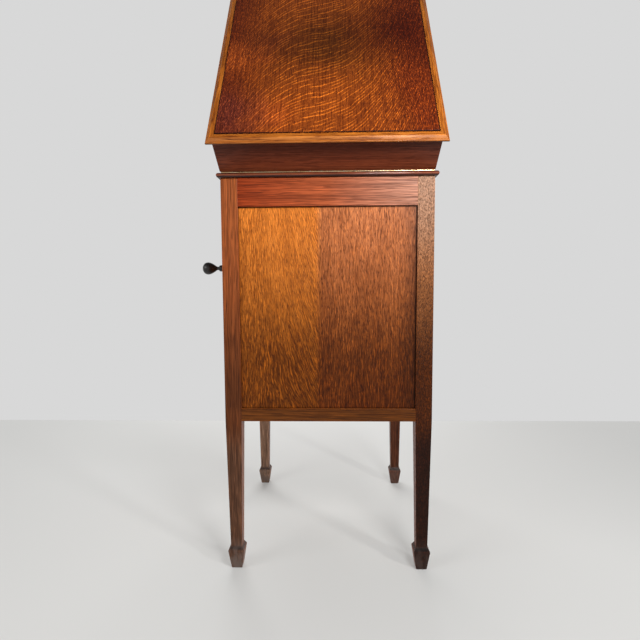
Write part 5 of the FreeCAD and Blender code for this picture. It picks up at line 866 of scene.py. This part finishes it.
def makeFloor(look):
    half, far, near = look["half"], look["far"], look["near"]
    bm = bmesh.new()
    corners = ((-half, far), (half, far), (half, near), (-half, near))
    bm.faces.new([bm.verts.new((x, y, 0.0)) for x, y in corners])
    mesh = bpy.data.meshes.new("floor")
    bm.to_mesh(mesh)
    bm.free()
    floor = bpy.data.objects.new("floor", mesh)
    scene.collection.objects.link(floor)
    material, add, shader = newMaterial("paleFloor")
    feed(shader, {"Base Color": srgb(look["floor"]), "Roughness": look["rough"]})
    pale = add("ShaderNodeEmission", {"Color": srgb(look["floor"])})
    spot = add("ShaderNodeTexCoord").outputs["Object"]
    away = add("ShaderNodeVectorMath", {0: spot}, operation="LENGTH")
    glow = add("ShaderNodeMapRange", {"Value": away, "From Min": look["reach"][0],
                                      "From Max": look["reach"][1], "To Min": look["glow"][0],
                                      "To Max": look["glow"][1]}, interpolation_type="SMOOTHSTEP")
    share = add("ShaderNodeMath", {0: showingRays(add), 1: glow}, operation="MULTIPLY")
    mixed = add("ShaderNodeMixShader", {0: share, 1: shader, 2: pale})
    feed(material.node_tree.nodes["Material Output"], {"Surface": mixed})
    mesh.materials.append(material)


# The wall is dimmer overhead, and what lights the room is weaker than what shows.
def makeWall(look):
    world = bpy.data.worlds.new("studio")
    scene.world = world
    world.use_nodes = True
    add = partial(addNode, world.node_tree)
    ambient = world.node_tree.nodes["Background"]
    feed(ambient, {"Color": srgb(look["ambient"]), "Strength": look["strength"]})
    way = add("ShaderNodeSeparateXYZ", {0: add("ShaderNodeTexCoord").outputs["Generated"]}).outputs["Z"]
    dim = add("ShaderNodeMapRange", {"Value": way, "From Min": look["ceilingFrom"][0],
                                     "From Max": look["ceilingFrom"][1],
                                     "To Min": 1.0, "To Max": look["ceiling"]})
    backdrop = add("ShaderNodeBackground", {"Color": srgb(look["wall"]), "Strength": dim})
    both = add("ShaderNodeMixShader", {0: showingRays(add), 1: ambient, 2: backdrop})
    feed(world.node_tree.nodes["World Output"], {"Surface": both})


makeFloor(stageLook)
makeWall(stageLook)

# Two lamps on the camera's right, a softer one on its left, and a fill for the front of the case, which
# leaves no glare on the shut lid.
lamps = {
    "keySoftbox": dict(place=(-0.40, 1.02, 1.08), aim=(0.0, 0.2, 0.66), size=0.3, power=9.0),
    "sideWindow": dict(place=(-1.5, 1.5, 1.0), aim=(0.0, 0.2, 0.4), size=0.2, power=15.0),
    "leftFill": dict(place=(1.5, 1.1, 1.2), aim=(0.0, 0.2, 0.6), size=0.9, power=9.0),
    "frontFill": dict(place=(0.3, -1.7, 1.5), aim=(0.0, 0.0, 0.6), size=1.6, power=42.0, glare=False),
}
for name, look in lamps.items():
    data = bpy.data.lights.new(name, "AREA")
    data.shape = "SQUARE"
    data.size = look["size"]
    data.energy = look["power"]
    lamp = bpy.data.objects.new(name, data)
    lamp.location = look["place"]
    lamp.rotation_euler = (Vector(look["aim"]) - Vector(look["place"])).to_track_quat("-Z", "Y").to_euler()
    lamp.visible_camera = False
    lamp.visible_glossy = look.get("glare", True)
    scene.collection.objects.link(lamp)


# The photograph was taken close to the back of the case with a wide lens.
camera = dict(place=(-0.0093, 1.1668, 0.6008), lens=26.49, sensor=36.0, clip=(0.02, 50.0),
              yaw=1.505, pitch=-4.599, roll=0.318)


def makeCamera(look):
    data = bpy.data.cameras.new("photoCamera")
    data.lens = look["lens"]
    data.sensor_width = look["sensor"]
    data.sensor_fit = "HORIZONTAL"
    data.clip_start, data.clip_end = look["clip"]
    forward, right, up = Vector((0, -1, 0)), Vector((-1, 0, 0)), Vector((0, 0, 1))
    for angle, about in ((look["yaw"], "up"), (look["pitch"], "right"), (look["roll"], "forward")):
        axis = {"up": up, "right": right, "forward": forward}[about]
        turn = Matrix.Rotation(math.radians(angle), 3, axis)
        forward, right, up = turn @ forward, turn @ right, turn @ up
    turned = Matrix((right, up, -forward)).transposed().to_4x4()
    obj = bpy.data.objects.new("photoCamera", data)
    obj.matrix_world = Matrix.Translation(Vector(look["place"])) @ turned
    scene.collection.objects.link(obj)
    scene.camera = obj


makeCamera(camera)
scene.view_settings.view_transform = "Standard"
print("stage, lamps and camera set")
